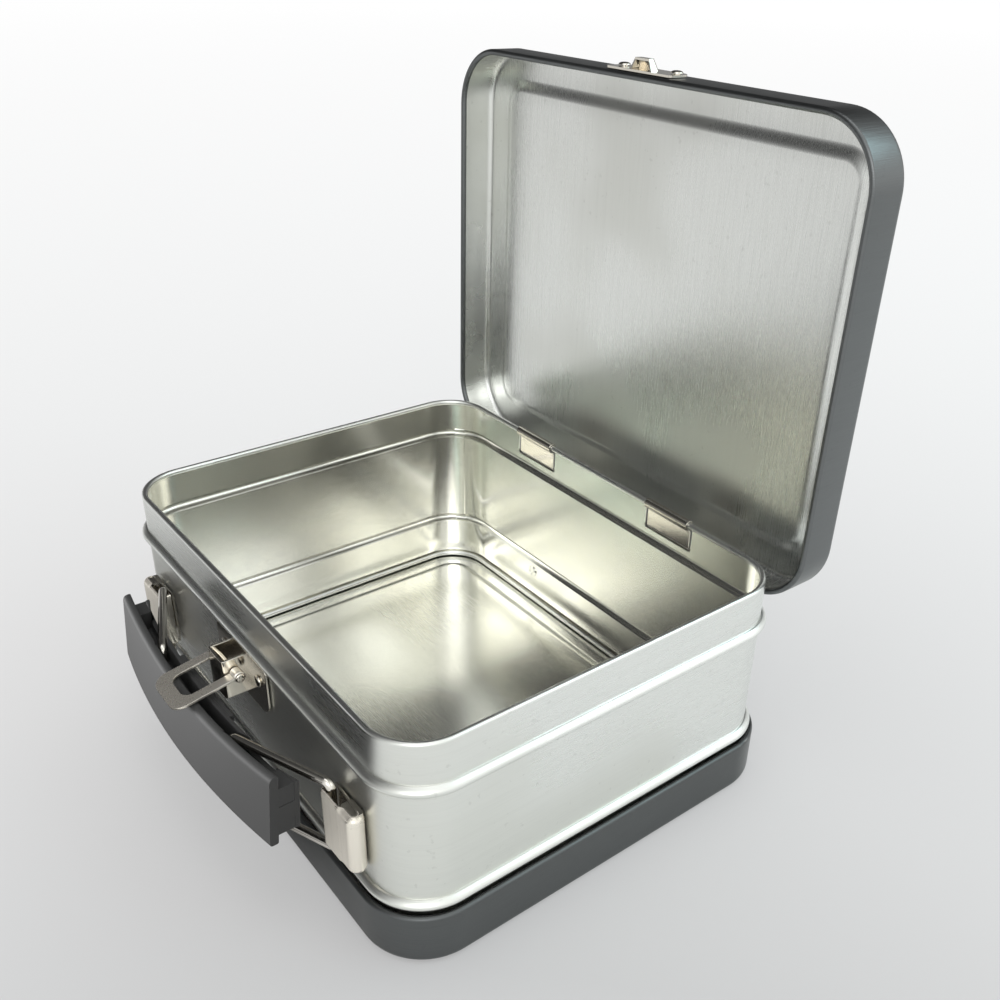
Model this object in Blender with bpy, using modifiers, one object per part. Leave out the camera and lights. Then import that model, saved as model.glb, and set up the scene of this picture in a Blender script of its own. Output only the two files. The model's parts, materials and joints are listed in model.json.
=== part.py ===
"""Tin lunch box with a hinged lid, a loop latch and a handle that folds in.

Heights are measured from the plane that the box stands on.  A root empty then
lowers everything by the rise of the base panel, so that the origin of the part
is the centre of that panel's underside.  X runs along the latch side, -Y is the
latch and handle side, +Y is the hinge side and +Z is up.  Lengths are metres.
"""
import math

import bmesh
import bpy
from mathutils import Matrix, Vector

COLLECTION = "tin_lunch_box"
CUTTERS = "cutters"

# --- sheet and overall size -------------------------------------------------
SHEET = 0.0004
GAP = 0.0003
TIN_LENGTH = 0.200
TIN_WIDTH = 0.160
TIN_RADIUS = 0.0219
CORNER_STEPS = 7
CURL_RADIUS = 0.0011
CURL_STEPS = 6
CURL_TURN = 262

# --- stamped pans (base and lid) --------------------------------------------
PAN_HEIGHT = 0.0191
LID_DEPTH = 0.0160
EDGE_RADIUS = 0.0031
EDGE_STEPS = 3
RING_WIDTH = 0.0110
SLOPE_WIDTH = 0.0050
PANEL_RISE = 0.0013

# --- body band ---------------------------------------------------------------
BAND_INSET = 0.0035
BAND_BOTTOM = 0.0009
RIM_HEIGHT = 0.0821
UPPER_BEAD = 0.0634
LOWER_BEAD = 0.0194
BEAD_PROFILE = ((0.0, 0.0), (0.0014, 0.0003), (0.0021, 0.0012), (0.0021, 0.0021), (0.0013, 0.0031), (0.0, 0.0042))
BAND_WALL = TIN_WIDTH / 2 - BAND_INSET

# --- hinges ------------------------------------------------------------------
LID_CLOSED_HEM = 0.0673
LID_OPEN_ANGLE = math.radians(90.7)
HINGE_HEIGHT = LID_CLOSED_HEM + CURL_RADIUS
HINGE_Y = TIN_WIDTH / 2 - CURL_RADIUS
HINGE_OFFSET = 0.0397
STRAP_WIDTH = 0.0220
STRAP_SHEET = 0.0005
KNUCKLE_RADIUS = 0.0011
PIN_RADIUS = 0.0005
PIN_LENGTH = 0.0340
WINDOW = (0.0244, 0.0698, 0.0790)
WINDOW_DEPTH = (0.004, 0.002)
NOTCH_WIDTH = 0.0234
NOTCH_HEIGHT = 0.0033
NOTCH_DEPTH = (0.0016, 0.003)
NOTCH_FOOT = 0.001
HOOK_TURN = (-15, 180)
STRAP_OFFSET = 0.0005
STRAP_NECK = (0.0796, 0.0784, 0.0778)
STRAP_FOOT = (0.0716, 0.0705)
STRAP_TURN = 0.0006
KNUCKLE_TURN = (80, -165)

# --- latch -------------------------------------------------------------------
PLATE_SHEET = 0.0008
LATCH_WIDTH = 0.0366
LATCH_BOTTOM = 0.0450
LATCH_TOP = 0.0632
LUG_WIDTH = 0.0110
LUG_BOTTOM = 0.0485
LUG_TOP = 0.0630
LUG_FRONT = -0.0863
LATCH_RIVET_X = 0.0126
LATCH_RIVET_HEIGHT = 0.0565
LATCH_PIVOT = Vector((0.0, -0.0825, 0.05825))
LATCH_DROOP = math.radians(10)
LOOP_OUTER = 0.0194
LOOP_ARM = 0.0037
LOOP_LENGTH = 0.0222
LOOP_LIP = 0.0049
LOOP_INNER_ROUND = 0.0034
LOOP_OUTER_ROUND = 0.0046
LOOP_SHEET = 0.0010
EYE_RADIUS = 0.0019
EYE_BORE = 0.0013
EYE_LAND = 0.0001
LATCH_PIN_RADIUS = 0.0010
LATCH_PIN_HALF = 0.0106
PIN_HEAD_RADIUS = 0.0016
PIN_HEAD_HEIGHT = 0.0006
PLATE_ROUND = 0.0016
PLATE_FOOT_ROUND = 0.0048
CUT_MARGIN = 0.002

# --- keeper on the lid ---------------------------------------------------------
KEEPER_SHEET = 0.0007
KEEPER_WIDTH = 0.0316
KEEPER_BOTTOM = 0.0688
KEEPER_TOP = 0.0785
KEEPER_ROUND = 0.0036
HOOD_REACH = 0.0046
HOOD_ROOT = (0.0106, 0.0704, 0.0746)
HOOD_NOSE = (0.0066, 0.0708, 0.0736)
KEEPER_RIVET_X = 0.0126
KEEPER_RIVET_HEIGHT = 0.0748

# --- rivets --------------------------------------------------------------------
RIVET_SHANK = 0.0012
RIVET_HOLE = 0.0015
RIVET_HOLE_LENGTH = 0.008
RIVET_HEAD = 0.0021
RIVET_DOME = 0.0008
RIVET_TAIL = 0.0006
RIVET_STEPS = 14

# --- handle brackets -----------------------------------------------------------
BRACKET_SHEET = 0.0008
BRACKET_BOTTOM = 0.0286
BRACKET_TOP = 0.0504
BRACKET_INNER_X = 0.0608
BRACKET_OUTER_X = 0.0790
BRACKET_FRONT_Y = -0.0822
BRACKET_FLANGE = 0.0085
BRACKET_LIP = 0.0012
FLANGE_CHAMFER = (0.0026, 0.0020)
FLANGE_ROOT = 1.4 * BRACKET_SHEET
BRACKET_RIVET_X = 0.0728
BRACKET_RIVETS = (0.0340, 0.0450)

# --- wire rings ------------------------------------------------------------------
WIRE_RADIUS = 0.0015
WIRE_BEND = 0.0024
BEND_STEPS = 4
RING_RUN = Vector((0.0635, -0.0799))
RING_END = Vector((0.0274, -0.0942))
UPPER_LEG = 0.0523
LOWER_LEG = 0.0268
UPPER_TIP = 0.0439
LOWER_TIP = 0.0431

# --- grip -------------------------------------------------------------------------
GRIP_HALF = 0.0578
GRIP_STATIONS = 14
GRIP_TOP = (0.0543, 0.0582)
GRIP_BOTTOM = 0.0332
GRIP_FACE_TOP = (-0.0992, -0.0957)
GRIP_FACE_BOTTOM = (-0.1033, -0.0980)
GRIP_INNER_TOP = (-0.0915, -0.0869)
GRIP_INNER_BOTTOM = (-0.0926, -0.0880)
GRIP_WALL_TOP = 0.0534
GRIP_WALL_BOTTOM = 0.0360
GRIP_WEB_TOP = 0.0465
GRIP_WEB_BOTTOM = 0.0410
GRIP_PLATE_SHEET = 0.0028
GRIP_WALL_SHEET = 0.0015
GRIP_SOLID_FROM = 0.0500
GRIP_BOSS_HALF = 0.0195
GRIP_BOSS = 0.0016
GRIP_LAND = 0.0002
SOCKET_RADIUS = 0.0018
SOCKET_LENGTH = 0.0200
LEG_SLOT = (0.0495, 0.0540)
LEG_SLOT_HALF = 0.0019
LEG_SLOT_LENGTH = 0.0300
LEG_SLOT_SPREAD = 0.0026

COLOURS = {
    "tinplate": ((0.62, 0.62, 0.58, 1.0), 1.0, 0.28),
    "nickel": ((0.60, 0.56, 0.50, 1.0), 1.0, 0.22),
    "black_plastic": ((0.020, 0.020, 0.022, 1.0), 0.0, 0.38),
}


# --- scene helpers -----------------------------------------------------------

def clear_scene():
    for item in list(bpy.data.objects):
        bpy.data.objects.remove(item, do_unlink=True)


def new_collection(name):
    collection = bpy.data.collections.new(name)
    bpy.context.scene.collection.children.link(collection)
    return collection


def material(name, finish):
    colour, metallic, roughness = COLOURS[finish]
    made = bpy.data.materials.new(name)
    made.use_nodes = True
    shader = made.node_tree.nodes["Principled BSDF"]
    shader.inputs["Base Color"].default_value = colour
    shader.inputs["Metallic"].default_value = metallic
    shader.inputs["Roughness"].default_value = roughness
    return made


def empty(name, parent, location, turn=(0.0, 0.0, 0.0)):
    made = bpy.data.objects.new(name, None)
    bpy.data.collections[COLLECTION].objects.link(made)
    made.parent = parent
    made.location = location
    made.rotation_euler = turn
    return made


def piece(name, mesh, parent, finish, location=(0.0, 0.0, 0.0), turn=(0.0, 0.0, 0.0)):
    made = bpy.data.objects.new(name, mesh)
    bpy.data.collections[COLLECTION].objects.link(made)
    made.parent = parent
    made.location = location
    made.rotation_euler = turn
    mesh.materials.append(material(name + "_finish", finish))
    return made


def mesh_from(bm, name):
    bmesh.ops.recalc_face_normals(bm, faces=bm.faces)
    mesh = bpy.data.meshes.new(name)
    bm.to_mesh(mesh)
    bm.free()
    return mesh


def smooth(made, angle=35):
    made.data.shade_smooth()
    made.data.set_sharp_from_angle(angle=math.radians(angle))


def cutter(name, mesh, parent, location=(0.0, 0.0, 0.0)):
    made = bpy.data.objects.new(name, mesh)
    bpy.data.collections[CUTTERS].objects.link(made)
    made.parent = parent
    made.location = location
    made.hide_render = True
    made.display_type = "WIRE"
    return made


def boolean(made, tool, operation):
    modifier = made.modifiers.new(operation.lower() + "_" + tool.name, "BOOLEAN")
    modifier.operation = operation
    modifier.solver = "EXACT"
    modifier.object = tool


def solidify(made, thickness):
    modifier = made.modifiers.new("sheet", "SOLIDIFY")
    modifier.thickness = thickness
    modifier.offset = 0.0
    modifier.use_even_offset = True


def box_mesh(name, low, high):
    bm = bmesh.new()
    bmesh.ops.create_cube(bm, size=1.0)
    size = [top - bottom for bottom, top in zip(low, high)]
    centre = [(top + bottom) / 2 for bottom, top in zip(low, high)]
    bmesh.ops.scale(bm, vec=size, verts=bm.verts)
    bmesh.ops.translate(bm, vec=centre, verts=bm.verts)
    return mesh_from(bm, name)


def rod_mesh(name, radius, length, axis, steps=16):
    """A cylinder centred on the origin along X, Y or Z."""
    bm = bmesh.new()
    bmesh.ops.create_cone(bm, cap_ends=True, segments=steps, radius1=radius, radius2=radius, depth=length)
    turn = {"X": Matrix.Rotation(math.pi / 2, 3, "Y"), "Y": Matrix.Rotation(math.pi / 2, 3, "X")}
    if axis in turn:
        bmesh.ops.rotate(bm, cent=(0, 0, 0), matrix=turn[axis], verts=bm.verts)
    return mesh_from(bm, name)


# --- outlines and profiles -----------------------------------------------------

def arc(centre, radius, start, end, steps):
    """Points on a circle from one angle in degrees to another, ends included."""
    turn = (end - start) / steps
    angles = [math.radians(start + turn * i) for i in range(steps + 1)]
    return [(centre[0] + radius * math.cos(a), centre[1] + radius * math.sin(a)) for a in angles]


def rounded_outline(half_x, half_y, radius, steps):
    """A rounded rectangle, counter-clockwise, starting at its +X side."""
    points = []
    corners = ((1, 1, 0), (-1, 1, 90), (-1, -1, 180), (1, -1, 270))
    for side_x, side_y, start in corners:
        centre = (side_x * (half_x - radius), side_y * (half_y - radius))
        points += arc(centre, radius, start, start + 90, steps)
    return points


def tin_outline(inset):
    """The tin's outline moved inwards by inset, with a corner that shrinks with it."""
    return rounded_outline(TIN_LENGTH / 2 - inset, TIN_WIDTH / 2 - inset, TIN_RADIUS - inset, CORNER_STEPS)


def loft(rings, fill_start=False, fill_end=False):
    """A bmesh with quads between closed rings that all have the same number of points."""
    bm = bmesh.new()
    rows = [[bm.verts.new(point) for point in ring] for ring in rings]
    count = len(rows[0])
    for low, high in zip(rows, rows[1:]):
        for i in range(count):
            bm.faces.new((low[i - 1], low[i], high[i], high[i - 1]))
    if fill_start:
        bm.faces.new(rows[0])
    if fill_end:
        bm.faces.new(rows[-1])
    return bm


def swept_sheet(name, profile, filled):
    """A surface round the tin's outline, one ring for each (inset, height) of the profile."""
    rings = [[(x, y, height) for x, y in tin_outline(inset)] for inset, height in profile]
    return mesh_from(loft(rings, fill_end=filled), name)


def prism(name, outline, low, high, plane="XY"):
    """A flat outline drawn in one plane and extruded along the third axis, from low to high."""
    bm = bmesh.new()
    lift = {"XY": lambda a, b, c: (a, b, c), "YZ": lambda a, b, c: (c, a, b), "XZ": lambda a, b, c: (a, c, b)}
    place = lift[plane]
    face = bm.faces.new([bm.verts.new(place(a, b, low)) for a, b in outline])
    made = bmesh.ops.extrude_face_region(bm, geom=[face])["geom"]
    verts = [item for item in made if isinstance(item, bmesh.types.BMVert)]
    bmesh.ops.translate(bm, vec=place(0.0, 0.0, high - low), verts=verts)
    return mesh_from(bm, name)


def bent_strip(name, path, low, high, plane):
    """An open strip of no thickness: a path in one plane, drawn along the third axis."""
    bm = bmesh.new()
    lift = {"XY": lambda a, b, c: (a, b, c), "YZ": lambda a, b, c: (c, a, b)}
    place = lift[plane]
    near = [bm.verts.new(place(a, b, low)) for a, b in path]
    far = [bm.verts.new(place(a, b, high)) for a, b in path]
    for i in range(1, len(path)):
        bm.faces.new((near[i - 1], near[i], far[i], far[i - 1]))
    return mesh_from(bm, name)


def turned(name, profile):
    """A turned piece: (radius, height) from its top to its foot, spun about Z with Screw."""
    mesh = bpy.data.meshes.new(name)
    edges = [(i, i + 1) for i in range(len(profile) - 1)]
    mesh.from_pydata([(radius, 0.0, height) for radius, height in profile], edges, [])
    return mesh


def spin(made, steps):
    modifier = made.modifiers.new("turned", "SCREW")
    modifier.steps = steps
    modifier.render_steps = steps
    modifier.use_merge_vertices = True
    modifier.merge_threshold = 0.00001
    modifier.use_smooth_shade = True


def inward_curl(wall_inset, edge, side):
    """A rolled edge from its free end to the wall: side is -1 for a lower edge, 1 for an upper one."""
    radius = CURL_RADIUS - SHEET / 2
    centre = (wall_inset + SHEET / 2 + radius, edge - side * CURL_RADIUS)
    points = arc((0.0, 0.0), radius, CURL_TURN, 0, CURL_STEPS)
    return [(centre[0] - x, centre[1] + side * y) for x, y in points]


# --- sheet metal shells ----------------------------------------------------------

def band_profile():
    """Rolled lower edge, lower bead, main wall, upper bead, neck and rolled rim."""
    wall = BAND_INSET + SHEET / 2
    profile = inward_curl(BAND_INSET, BAND_BOTTOM, -1)
    for start in (LOWER_BEAD, UPPER_BEAD):
        profile += [(wall - out, start + rise) for out, rise in BEAD_PROFILE]
    profile += reversed(inward_curl(BAND_INSET, RIM_HEIGHT, 1))
    return profile


def pan_profile(hem, depth, side):
    """A stamped pan from its rolled hem to its centre panel; side is 1 for the lid, -1 for the base."""
    wall = SHEET / 2
    radius = EDGE_RADIUS - SHEET / 2
    floor = hem + side * (depth - SHEET / 2)
    profile = inward_curl(0.0, hem, -side)
    corner = arc((wall + radius, floor - side * radius), radius, 180, 90, EDGE_STEPS)
    if side < 0:
        corner = [(x, 2 * (floor + radius) - y) for x, y in corner]
    profile += corner
    profile.append((RING_WIDTH, floor))
    profile.append((RING_WIDTH + SLOPE_WIDTH, floor - side * PANEL_RISE))
    return profile


def body_band(base):
    made = piece("body_band", swept_sheet("body_band", band_profile(), False), base, "tinplate")
    solidify(made, SHEET)
    width, low, high = WINDOW
    for side in (-1, 1):
        near = (side * HINGE_OFFSET - width / 2, BAND_WALL - WINDOW_DEPTH[0], low)
        far = (side * HINGE_OFFSET + width / 2, BAND_WALL + WINDOW_DEPTH[1], high)
        boolean(made, cutter("hinge_window_%d" % side, box_mesh("hinge_window", near, far), base), "DIFFERENCE")
    for place in latch_rivets() + bracket_rivets():
        boolean(made, rivet_hole(place, base), "DIFFERENCE")
    smooth(made)


def bottom_pan(base):
    mesh = swept_sheet("bottom_pan", pan_profile(PAN_HEIGHT, PAN_HEIGHT, -1), True)
    made = piece("bottom_pan", mesh, base, "tinplate")
    solidify(made, SHEET)
    smooth(made)


def lid_pan(lid):
    mesh = swept_sheet("lid_pan", pan_profile(LID_CLOSED_HEM, LID_DEPTH, 1), True)
    made = piece("lid_pan", mesh, lid, "tinplate", location=-hinge_axis())
    solidify(made, SHEET)
    for side in (-1, 1):
        middle = side * HINGE_OFFSET
        near = (middle - NOTCH_WIDTH / 2, HINGE_Y - NOTCH_DEPTH[0], LID_CLOSED_HEM - NOTCH_FOOT)
        far = (middle + NOTCH_WIDTH / 2, HINGE_Y + NOTCH_DEPTH[1], LID_CLOSED_HEM + NOTCH_HEIGHT)
        mesh = box_mesh("hem_notch", near, far)
        boolean(made, cutter("hem_notch_%d" % side, mesh, lid, location=-hinge_axis()), "DIFFERENCE")
    for place in keeper_rivets():
        boolean(made, rivet_hole(place, lid, -hinge_axis()), "DIFFERENCE")
    smooth(made)


# --- hinges ------------------------------------------------------------------------

def hinge_axis():
    return Vector((0.0, HINGE_Y, HINGE_HEIGHT))


def strap_path():
    """Over the rolled rim, down the window, out through its foot and round the hinge pin."""
    curl = (BAND_WALL - CURL_RADIUS, RIM_HEIGHT - CURL_RADIUS)
    hook = CURL_RADIUS + GAP + STRAP_SHEET / 2
    plate = BAND_WALL - SHEET / 2
    path = arc(curl, hook, *HOOK_TURN, 6)
    path.append((curl[0] - hook + STRAP_OFFSET, STRAP_NECK[0]))
    path += [(plate - SHEET, STRAP_NECK[1]), (plate, STRAP_NECK[2]), (plate, STRAP_FOOT[0])]
    path.append((plate + STRAP_OFFSET, STRAP_FOOT[1]))
    path.append((HINGE_Y - STRAP_TURN, HINGE_HEIGHT + KNUCKLE_RADIUS))
    path += arc((HINGE_Y, HINGE_HEIGHT), KNUCKLE_RADIUS, *KNUCKLE_TURN, 9)
    return path


def hinge_straps(base):
    for side, label in ((-1, "left"), (1, "right")):
        centre = side * HINGE_OFFSET
        name = "hinge_strap_" + label
        mesh = bent_strip(name, strap_path(), centre - STRAP_WIDTH / 2, centre + STRAP_WIDTH / 2, "YZ")
        made = piece(name, mesh, base, "nickel")
        solidify(made, STRAP_SHEET)
        smooth(made)


def hinge_pins(lid):
    for side, label in ((-1, "left"), (1, "right")):
        name = "hinge_pin_" + label
        mesh = rod_mesh(name, PIN_RADIUS, PIN_LENGTH, "X", steps=10)
        smooth(piece(name, mesh, lid, "nickel", location=(side * HINGE_OFFSET, 0.0, 0.0)))


# --- rivets ------------------------------------------------------------------------

def latch_rivets():
    face = -BAND_WALL - GAP - PLATE_SHEET
    return [("latch_rivet", side * LATCH_RIVET_X, LATCH_RIVET_HEIGHT, face, -BAND_WALL + SHEET) for side in (-1, 1)]


def bracket_rivets():
    face = -BAND_WALL - GAP - BRACKET_SHEET
    places = [(side * BRACKET_RIVET_X, height) for side in (-1, 1) for height in BRACKET_RIVETS]
    return [("bracket_rivet", x, height, face, -BAND_WALL + SHEET) for x, height in places]


def keeper_rivets():
    face = -TIN_WIDTH / 2 - GAP - KEEPER_SHEET
    inside = -TIN_WIDTH / 2 + SHEET
    return [("keeper_rivet", side * KEEPER_RIVET_X, KEEPER_RIVET_HEIGHT, face, inside) for side in (-1, 1)]


def rivet_profile(face, inside):
    """Domed head, shank and flattened tail, measured outwards from the inner face of the wall."""
    under_head = inside - face + GAP
    head = [(RIVET_HEAD * math.sin(math.radians(a)), under_head + RIVET_DOME * math.cos(math.radians(a)))
            for a in (0, 30, 60, 90)]
    tail = -GAP
    stem = [(RIVET_SHANK, under_head), (RIVET_SHANK, tail), (RIVET_HEAD, tail), (RIVET_HEAD, tail - RIVET_TAIL)]
    return head + stem + [(0.0, tail - RIVET_TAIL)]


def rivets(places, parent, shift=Vector((0.0, 0.0, 0.0))):
    for number, (label, x, height, face, inside) in enumerate(places, start=1):
        name = "%s_%d" % (label, number)
        mesh = turned(name, rivet_profile(face, inside))
        place = Vector((x, inside, height)) + shift
        made = piece(name, mesh, parent, "nickel", location=place, turn=(math.pi / 2, 0.0, 0.0))
        spin(made, RIVET_STEPS)


def rivet_hole(place, parent, shift=Vector((0.0, 0.0, 0.0))):
    label, x, height, face, inside = place
    name = "hole_%s_%.4f_%.4f" % (label, x, height)
    mesh = rod_mesh(name, RIVET_HOLE, RIVET_HOLE_LENGTH, "Y", steps=RIVET_STEPS)
    return cutter(name, mesh, parent, location=Vector((x, (face + inside) / 2, height)) + shift)


# --- latch -------------------------------------------------------------------------

def plate_outline(half_x, low, high, low_radius, high_radius):
    """A plate seen from the front, with larger radii at its lower corners."""
    points = arc((half_x - high_radius, high - high_radius), high_radius, 0, 90, 3)
    points += arc((-half_x + high_radius, high - high_radius), high_radius, 90, 180, 3)
    points += arc((-half_x + low_radius, low + low_radius), low_radius, 180, 270, 4)
    points += arc((half_x - low_radius, low + low_radius), low_radius, 270, 360, 4)
    return points


def latch_base(base):
    """Base plate with a square lug, open above and below, that carries the pivot pin."""
    back = -BAND_WALL - GAP
    outline = plate_outline(LATCH_WIDTH / 2, LATCH_BOTTOM, LATCH_TOP, PLATE_FOOT_ROUND, PLATE_ROUND)
    made = piece("latch_base", prism("latch_base", outline, back - PLATE_SHEET, back, "XZ"), base, "nickel")
    half = LUG_WIDTH / 2
    root = back - PLATE_SHEET / 2
    lug = [(-half, root), (-half, LUG_FRONT), (half, LUG_FRONT), (half, root)]
    wall = PLATE_SHEET
    lug += [(half - wall, root), (half - wall, LUG_FRONT + wall)]
    lug += [(-half + wall, LUG_FRONT + wall), (-half + wall, root)]
    boolean(made, cutter("latch_lug", prism("latch_lug", lug, LUG_BOTTOM, LUG_TOP), base), "UNION")
    bore = rod_mesh("pivot_bore", EYE_BORE, LUG_WIDTH + 2 * CUT_MARGIN, "X", steps=RIVET_STEPS)
    boolean(made, cutter("pivot_bore", bore, base, location=LATCH_PIVOT), "DIFFERENCE")
    for place in latch_rivets():
        boolean(made, rivet_hole(place, base), "DIFFERENCE")
    smooth(made)


def latch_pin(base):
    """Pivot pin with a peened head at each end."""
    foot = LATCH_PIN_HALF - PIN_HEAD_HEIGHT
    head = [(0.0, LATCH_PIN_HALF), (LATCH_PIN_RADIUS, LATCH_PIN_HALF)]
    head += [(PIN_HEAD_RADIUS, LATCH_PIN_HALF - PIN_HEAD_HEIGHT / 2), (PIN_HEAD_RADIUS, foot)]
    head.append((LATCH_PIN_RADIUS, foot))
    profile = head + [(radius, -height) for radius, height in reversed(head)]
    mesh = turned("latch_pivot_pin", profile)
    made = piece("latch_pivot_pin", mesh, base, "nickel", location=LATCH_PIVOT, turn=(0.0, math.pi / 2, 0.0))
    spin(made, RIVET_STEPS)


def latch_loop(base):
    """Flat loop that lies along -Y, with a rolled eye at the end of each arm."""
    pivot = empty("latch_pivot", base, LATCH_PIVOT, turn=(LATCH_DROOP, 0.0, 0.0))
    half = LOOP_OUTER / 2
    inner = half - LOOP_ARM
    front = -LOOP_LENGTH
    bar = front + LOOP_LIP
    root = -(EYE_BORE + EYE_RADIUS) / 2
    outline = [(half, root), (inner, root)]
    small = LOOP_INNER_ROUND
    large = LOOP_OUTER_ROUND
    outline += arc((inner - small, bar + small), small, 0, -90, 5)
    outline += arc((-inner + small, bar + small), small, 270, 180, 5)
    outline += [(-inner, root), (-half, root)]
    outline += arc((-half + large, front + large), large, 180, 270, 5)
    outline += arc((half - large, front + large), large, 270, 360, 5)
    mesh = prism("latch_loop", outline, -LOOP_SHEET / 2, LOOP_SHEET / 2)
    made = piece("latch_loop", mesh, pivot, "nickel")
    for side in (-1, 1):
        eye = rod_mesh("loop_eye", EYE_RADIUS, LOOP_ARM + 2 * EYE_LAND, "X", steps=RIVET_STEPS)
        place = (side * (inner + LOOP_ARM / 2), 0.0, 0.0)
        boolean(made, cutter("loop_eye_%d" % side, eye, pivot, location=place), "UNION")
    bore = rod_mesh("loop_bore", EYE_BORE, LOOP_OUTER + 2 * CUT_MARGIN, "X", steps=RIVET_STEPS)
    boolean(made, cutter("loop_bore", bore, pivot), "DIFFERENCE")
    smooth(made)


def hood_ring(size, y, shrink, drop):
    """A rectangle across the hood at depth y: shrink thins it all round, drop opens its foot."""
    width, low, high = size
    half = width / 2 - shrink
    corners = ((-half, low - drop), (half, low - drop), (half, high - shrink), (-half, high - shrink))
    return [(x, y, height) for x, height in corners]


def hood_mesh(name, root, nose, shrink=0.0, drop=0.0):
    """The hood's taper from its root on the plate to its nose."""
    rings = [hood_ring(HOOD_ROOT, root, shrink, drop), hood_ring(HOOD_NOSE, nose, shrink, drop)]
    return mesh_from(loft(rings, fill_start=True, fill_end=True), name)


def keeper(lid):
    """Plate on the lid's front skirt with a tapered hood, open below, that the loop snaps over."""
    shift = -hinge_axis()
    back = -TIN_WIDTH / 2 - GAP
    outline = plate_outline(KEEPER_WIDTH / 2, KEEPER_BOTTOM, KEEPER_TOP, PLATE_ROUND, KEEPER_ROUND)
    mesh = prism("keeper", outline, back - KEEPER_SHEET, back, "XZ")
    made = piece("keeper", mesh, lid, "nickel", location=shift)
    nose = -TIN_WIDTH / 2 - HOOD_REACH
    mesh = hood_mesh("keeper_hood", back - KEEPER_SHEET / 2, nose)
    boolean(made, cutter("keeper_hood", mesh, lid, location=shift), "UNION")
    mesh = hood_mesh("hood_hollow", back - KEEPER_SHEET - EYE_LAND, nose + KEEPER_SHEET, KEEPER_SHEET, CUT_MARGIN)
    boolean(made, cutter("hood_hollow", mesh, lid, location=shift), "DIFFERENCE")
    for place in keeper_rivets():
        boolean(made, rivet_hole(place, lid, shift), "DIFFERENCE")
    smooth(made)


# --- handle --------------------------------------------------------------------------

def bracket_path(side):
    """Plan of the strap: base, round outer fold, front and the lip that closes the inner end."""
    base_y = -BAND_WALL - GAP - BRACKET_SHEET / 2
    fold = (base_y - BRACKET_FRONT_Y) / 2
    outer = BRACKET_OUTER_X - BRACKET_SHEET / 2 - fold
    inner = BRACKET_INNER_X + BRACKET_SHEET / 2
    path = [(inner + BRACKET_LIP / 2, base_y)]
    path += arc((outer, base_y - fold), fold, 90, -90, 7)
    path += arc((inner + BRACKET_LIP, BRACKET_FRONT_Y + BRACKET_LIP), BRACKET_LIP, 270, 180, 3)
    path.append((inner, base_y - BRACKET_SHEET - GAP))
    return [(side * x, y) for x, y in path]


def brackets(base):
    for side, label in ((-1, "left"), (1, "right")):
        name = "handle_bracket_" + label
        mesh = bent_strip(name, bracket_path(side), BRACKET_BOTTOM, BRACKET_TOP, "XY")
        made = piece(name, mesh, base, "nickel")
        solidify(made, BRACKET_SHEET)
        flange_from = BRACKET_OUTER_X - BRACKET_FLANGE
        near_y = -BAND_WALL - GAP - FLANGE_ROOT
        edge = BRACKET_OUTER_X - BRACKET_SHEET / 2
        across, along = FLANGE_CHAMFER
        for level, foot in (("top", BRACKET_TOP - BRACKET_SHEET), ("bottom", BRACKET_BOTTOM)):
            outline = [(flange_from, BRACKET_FRONT_Y), (BRACKET_OUTER_X - across, BRACKET_FRONT_Y)]
            outline += [(edge, BRACKET_FRONT_Y + along), (edge, near_y)]
            outline += [(flange_from + BRACKET_LIP, near_y), (flange_from, near_y - BRACKET_LIP)]
            outline = [(side * x, y) for x, y in outline]
            mesh = prism("flange", outline, foot, foot + BRACKET_SHEET)
            boolean(made, cutter("flange_%s_%s" % (label, level), mesh, base), "UNION")
        for place in bracket_rivets():
            if place[1] * side > 0:
                boolean(made, rivet_hole(place, base), "DIFFERENCE")
        smooth(made)


def bent_wire(corners, bend, steps):
    """A path through the corners, each inner one rounded by a circular bend."""
    path = [corners[0]]
    for before, corner, after in zip(corners, corners[1:], corners[2:]):
        into = (corner - before).normalized()
        away = (after - corner).normalized()
        half_turn = into.angle(away) / 2
        reach = bend * math.tan(half_turn)
        start = corner - into * reach
        inward = (away - into).normalized()
        centre = corner + inward * (bend / math.cos(half_turn))
        spoke = start - centre
        axis = into.cross(away)
        for i in range(steps + 1):
            turn = Matrix.Rotation(2 * half_turn * i / steps, 3, axis)
            path.append(centre + turn @ spoke)
    path.append(corners[-1])
    return path


def ring_mesh(name, side):
    """A wire ring whose two tips point at each other inside the grip, drawn from its grip pivot."""
    run = Vector((side * (RING_RUN.x - RING_END.x), RING_RUN.y - RING_END.y))
    corners = [Vector((0.0, 0.0, UPPER_TIP)), Vector((0.0, 0.0, UPPER_LEG))]
    corners += [Vector((run.x, run.y, UPPER_LEG)), Vector((run.x, run.y, LOWER_LEG))]
    corners += [Vector((0.0, 0.0, LOWER_LEG)), Vector((0.0, 0.0, LOWER_TIP))]
    path = bent_wire(corners, WIRE_BEND, BEND_STEPS)
    curve = bpy.data.curves.new(name, "CURVE")
    curve.dimensions = "3D"
    curve.bevel_depth = WIRE_RADIUS
    curve.bevel_resolution = 2
    curve.use_fill_caps = True
    spline = curve.splines.new("POLY")
    spline.points.add(len(path) - 1)
    for point, place in zip(spline.points, path):
        point.co = (place.x, place.y, place.z, 1.0)
    return curve


def wire_rings(grip_carrier):
    for side, label in ((-1, "left"), (1, "right")):
        pivot = empty("ring_pivot_" + label, grip_carrier, (side * RING_END.x, RING_END.y, 0.0))
        name = "wire_ring_" + label
        piece(name, ring_mesh(name, side), pivot, "nickel")


def bow(ends, x):
    """A value that bows along the grip: the first one at its middle, the second at its ends."""
    return ends[0] + (ends[1] - ends[0]) * (x / GRIP_HALF) ** 2


def between(low, high, height):
    """A point on the straight line between two (y, height) points."""
    share = (height - low[1]) / (high[1] - low[1])
    return (low[0] + (high[0] - low[0]) * share, height)


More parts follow.
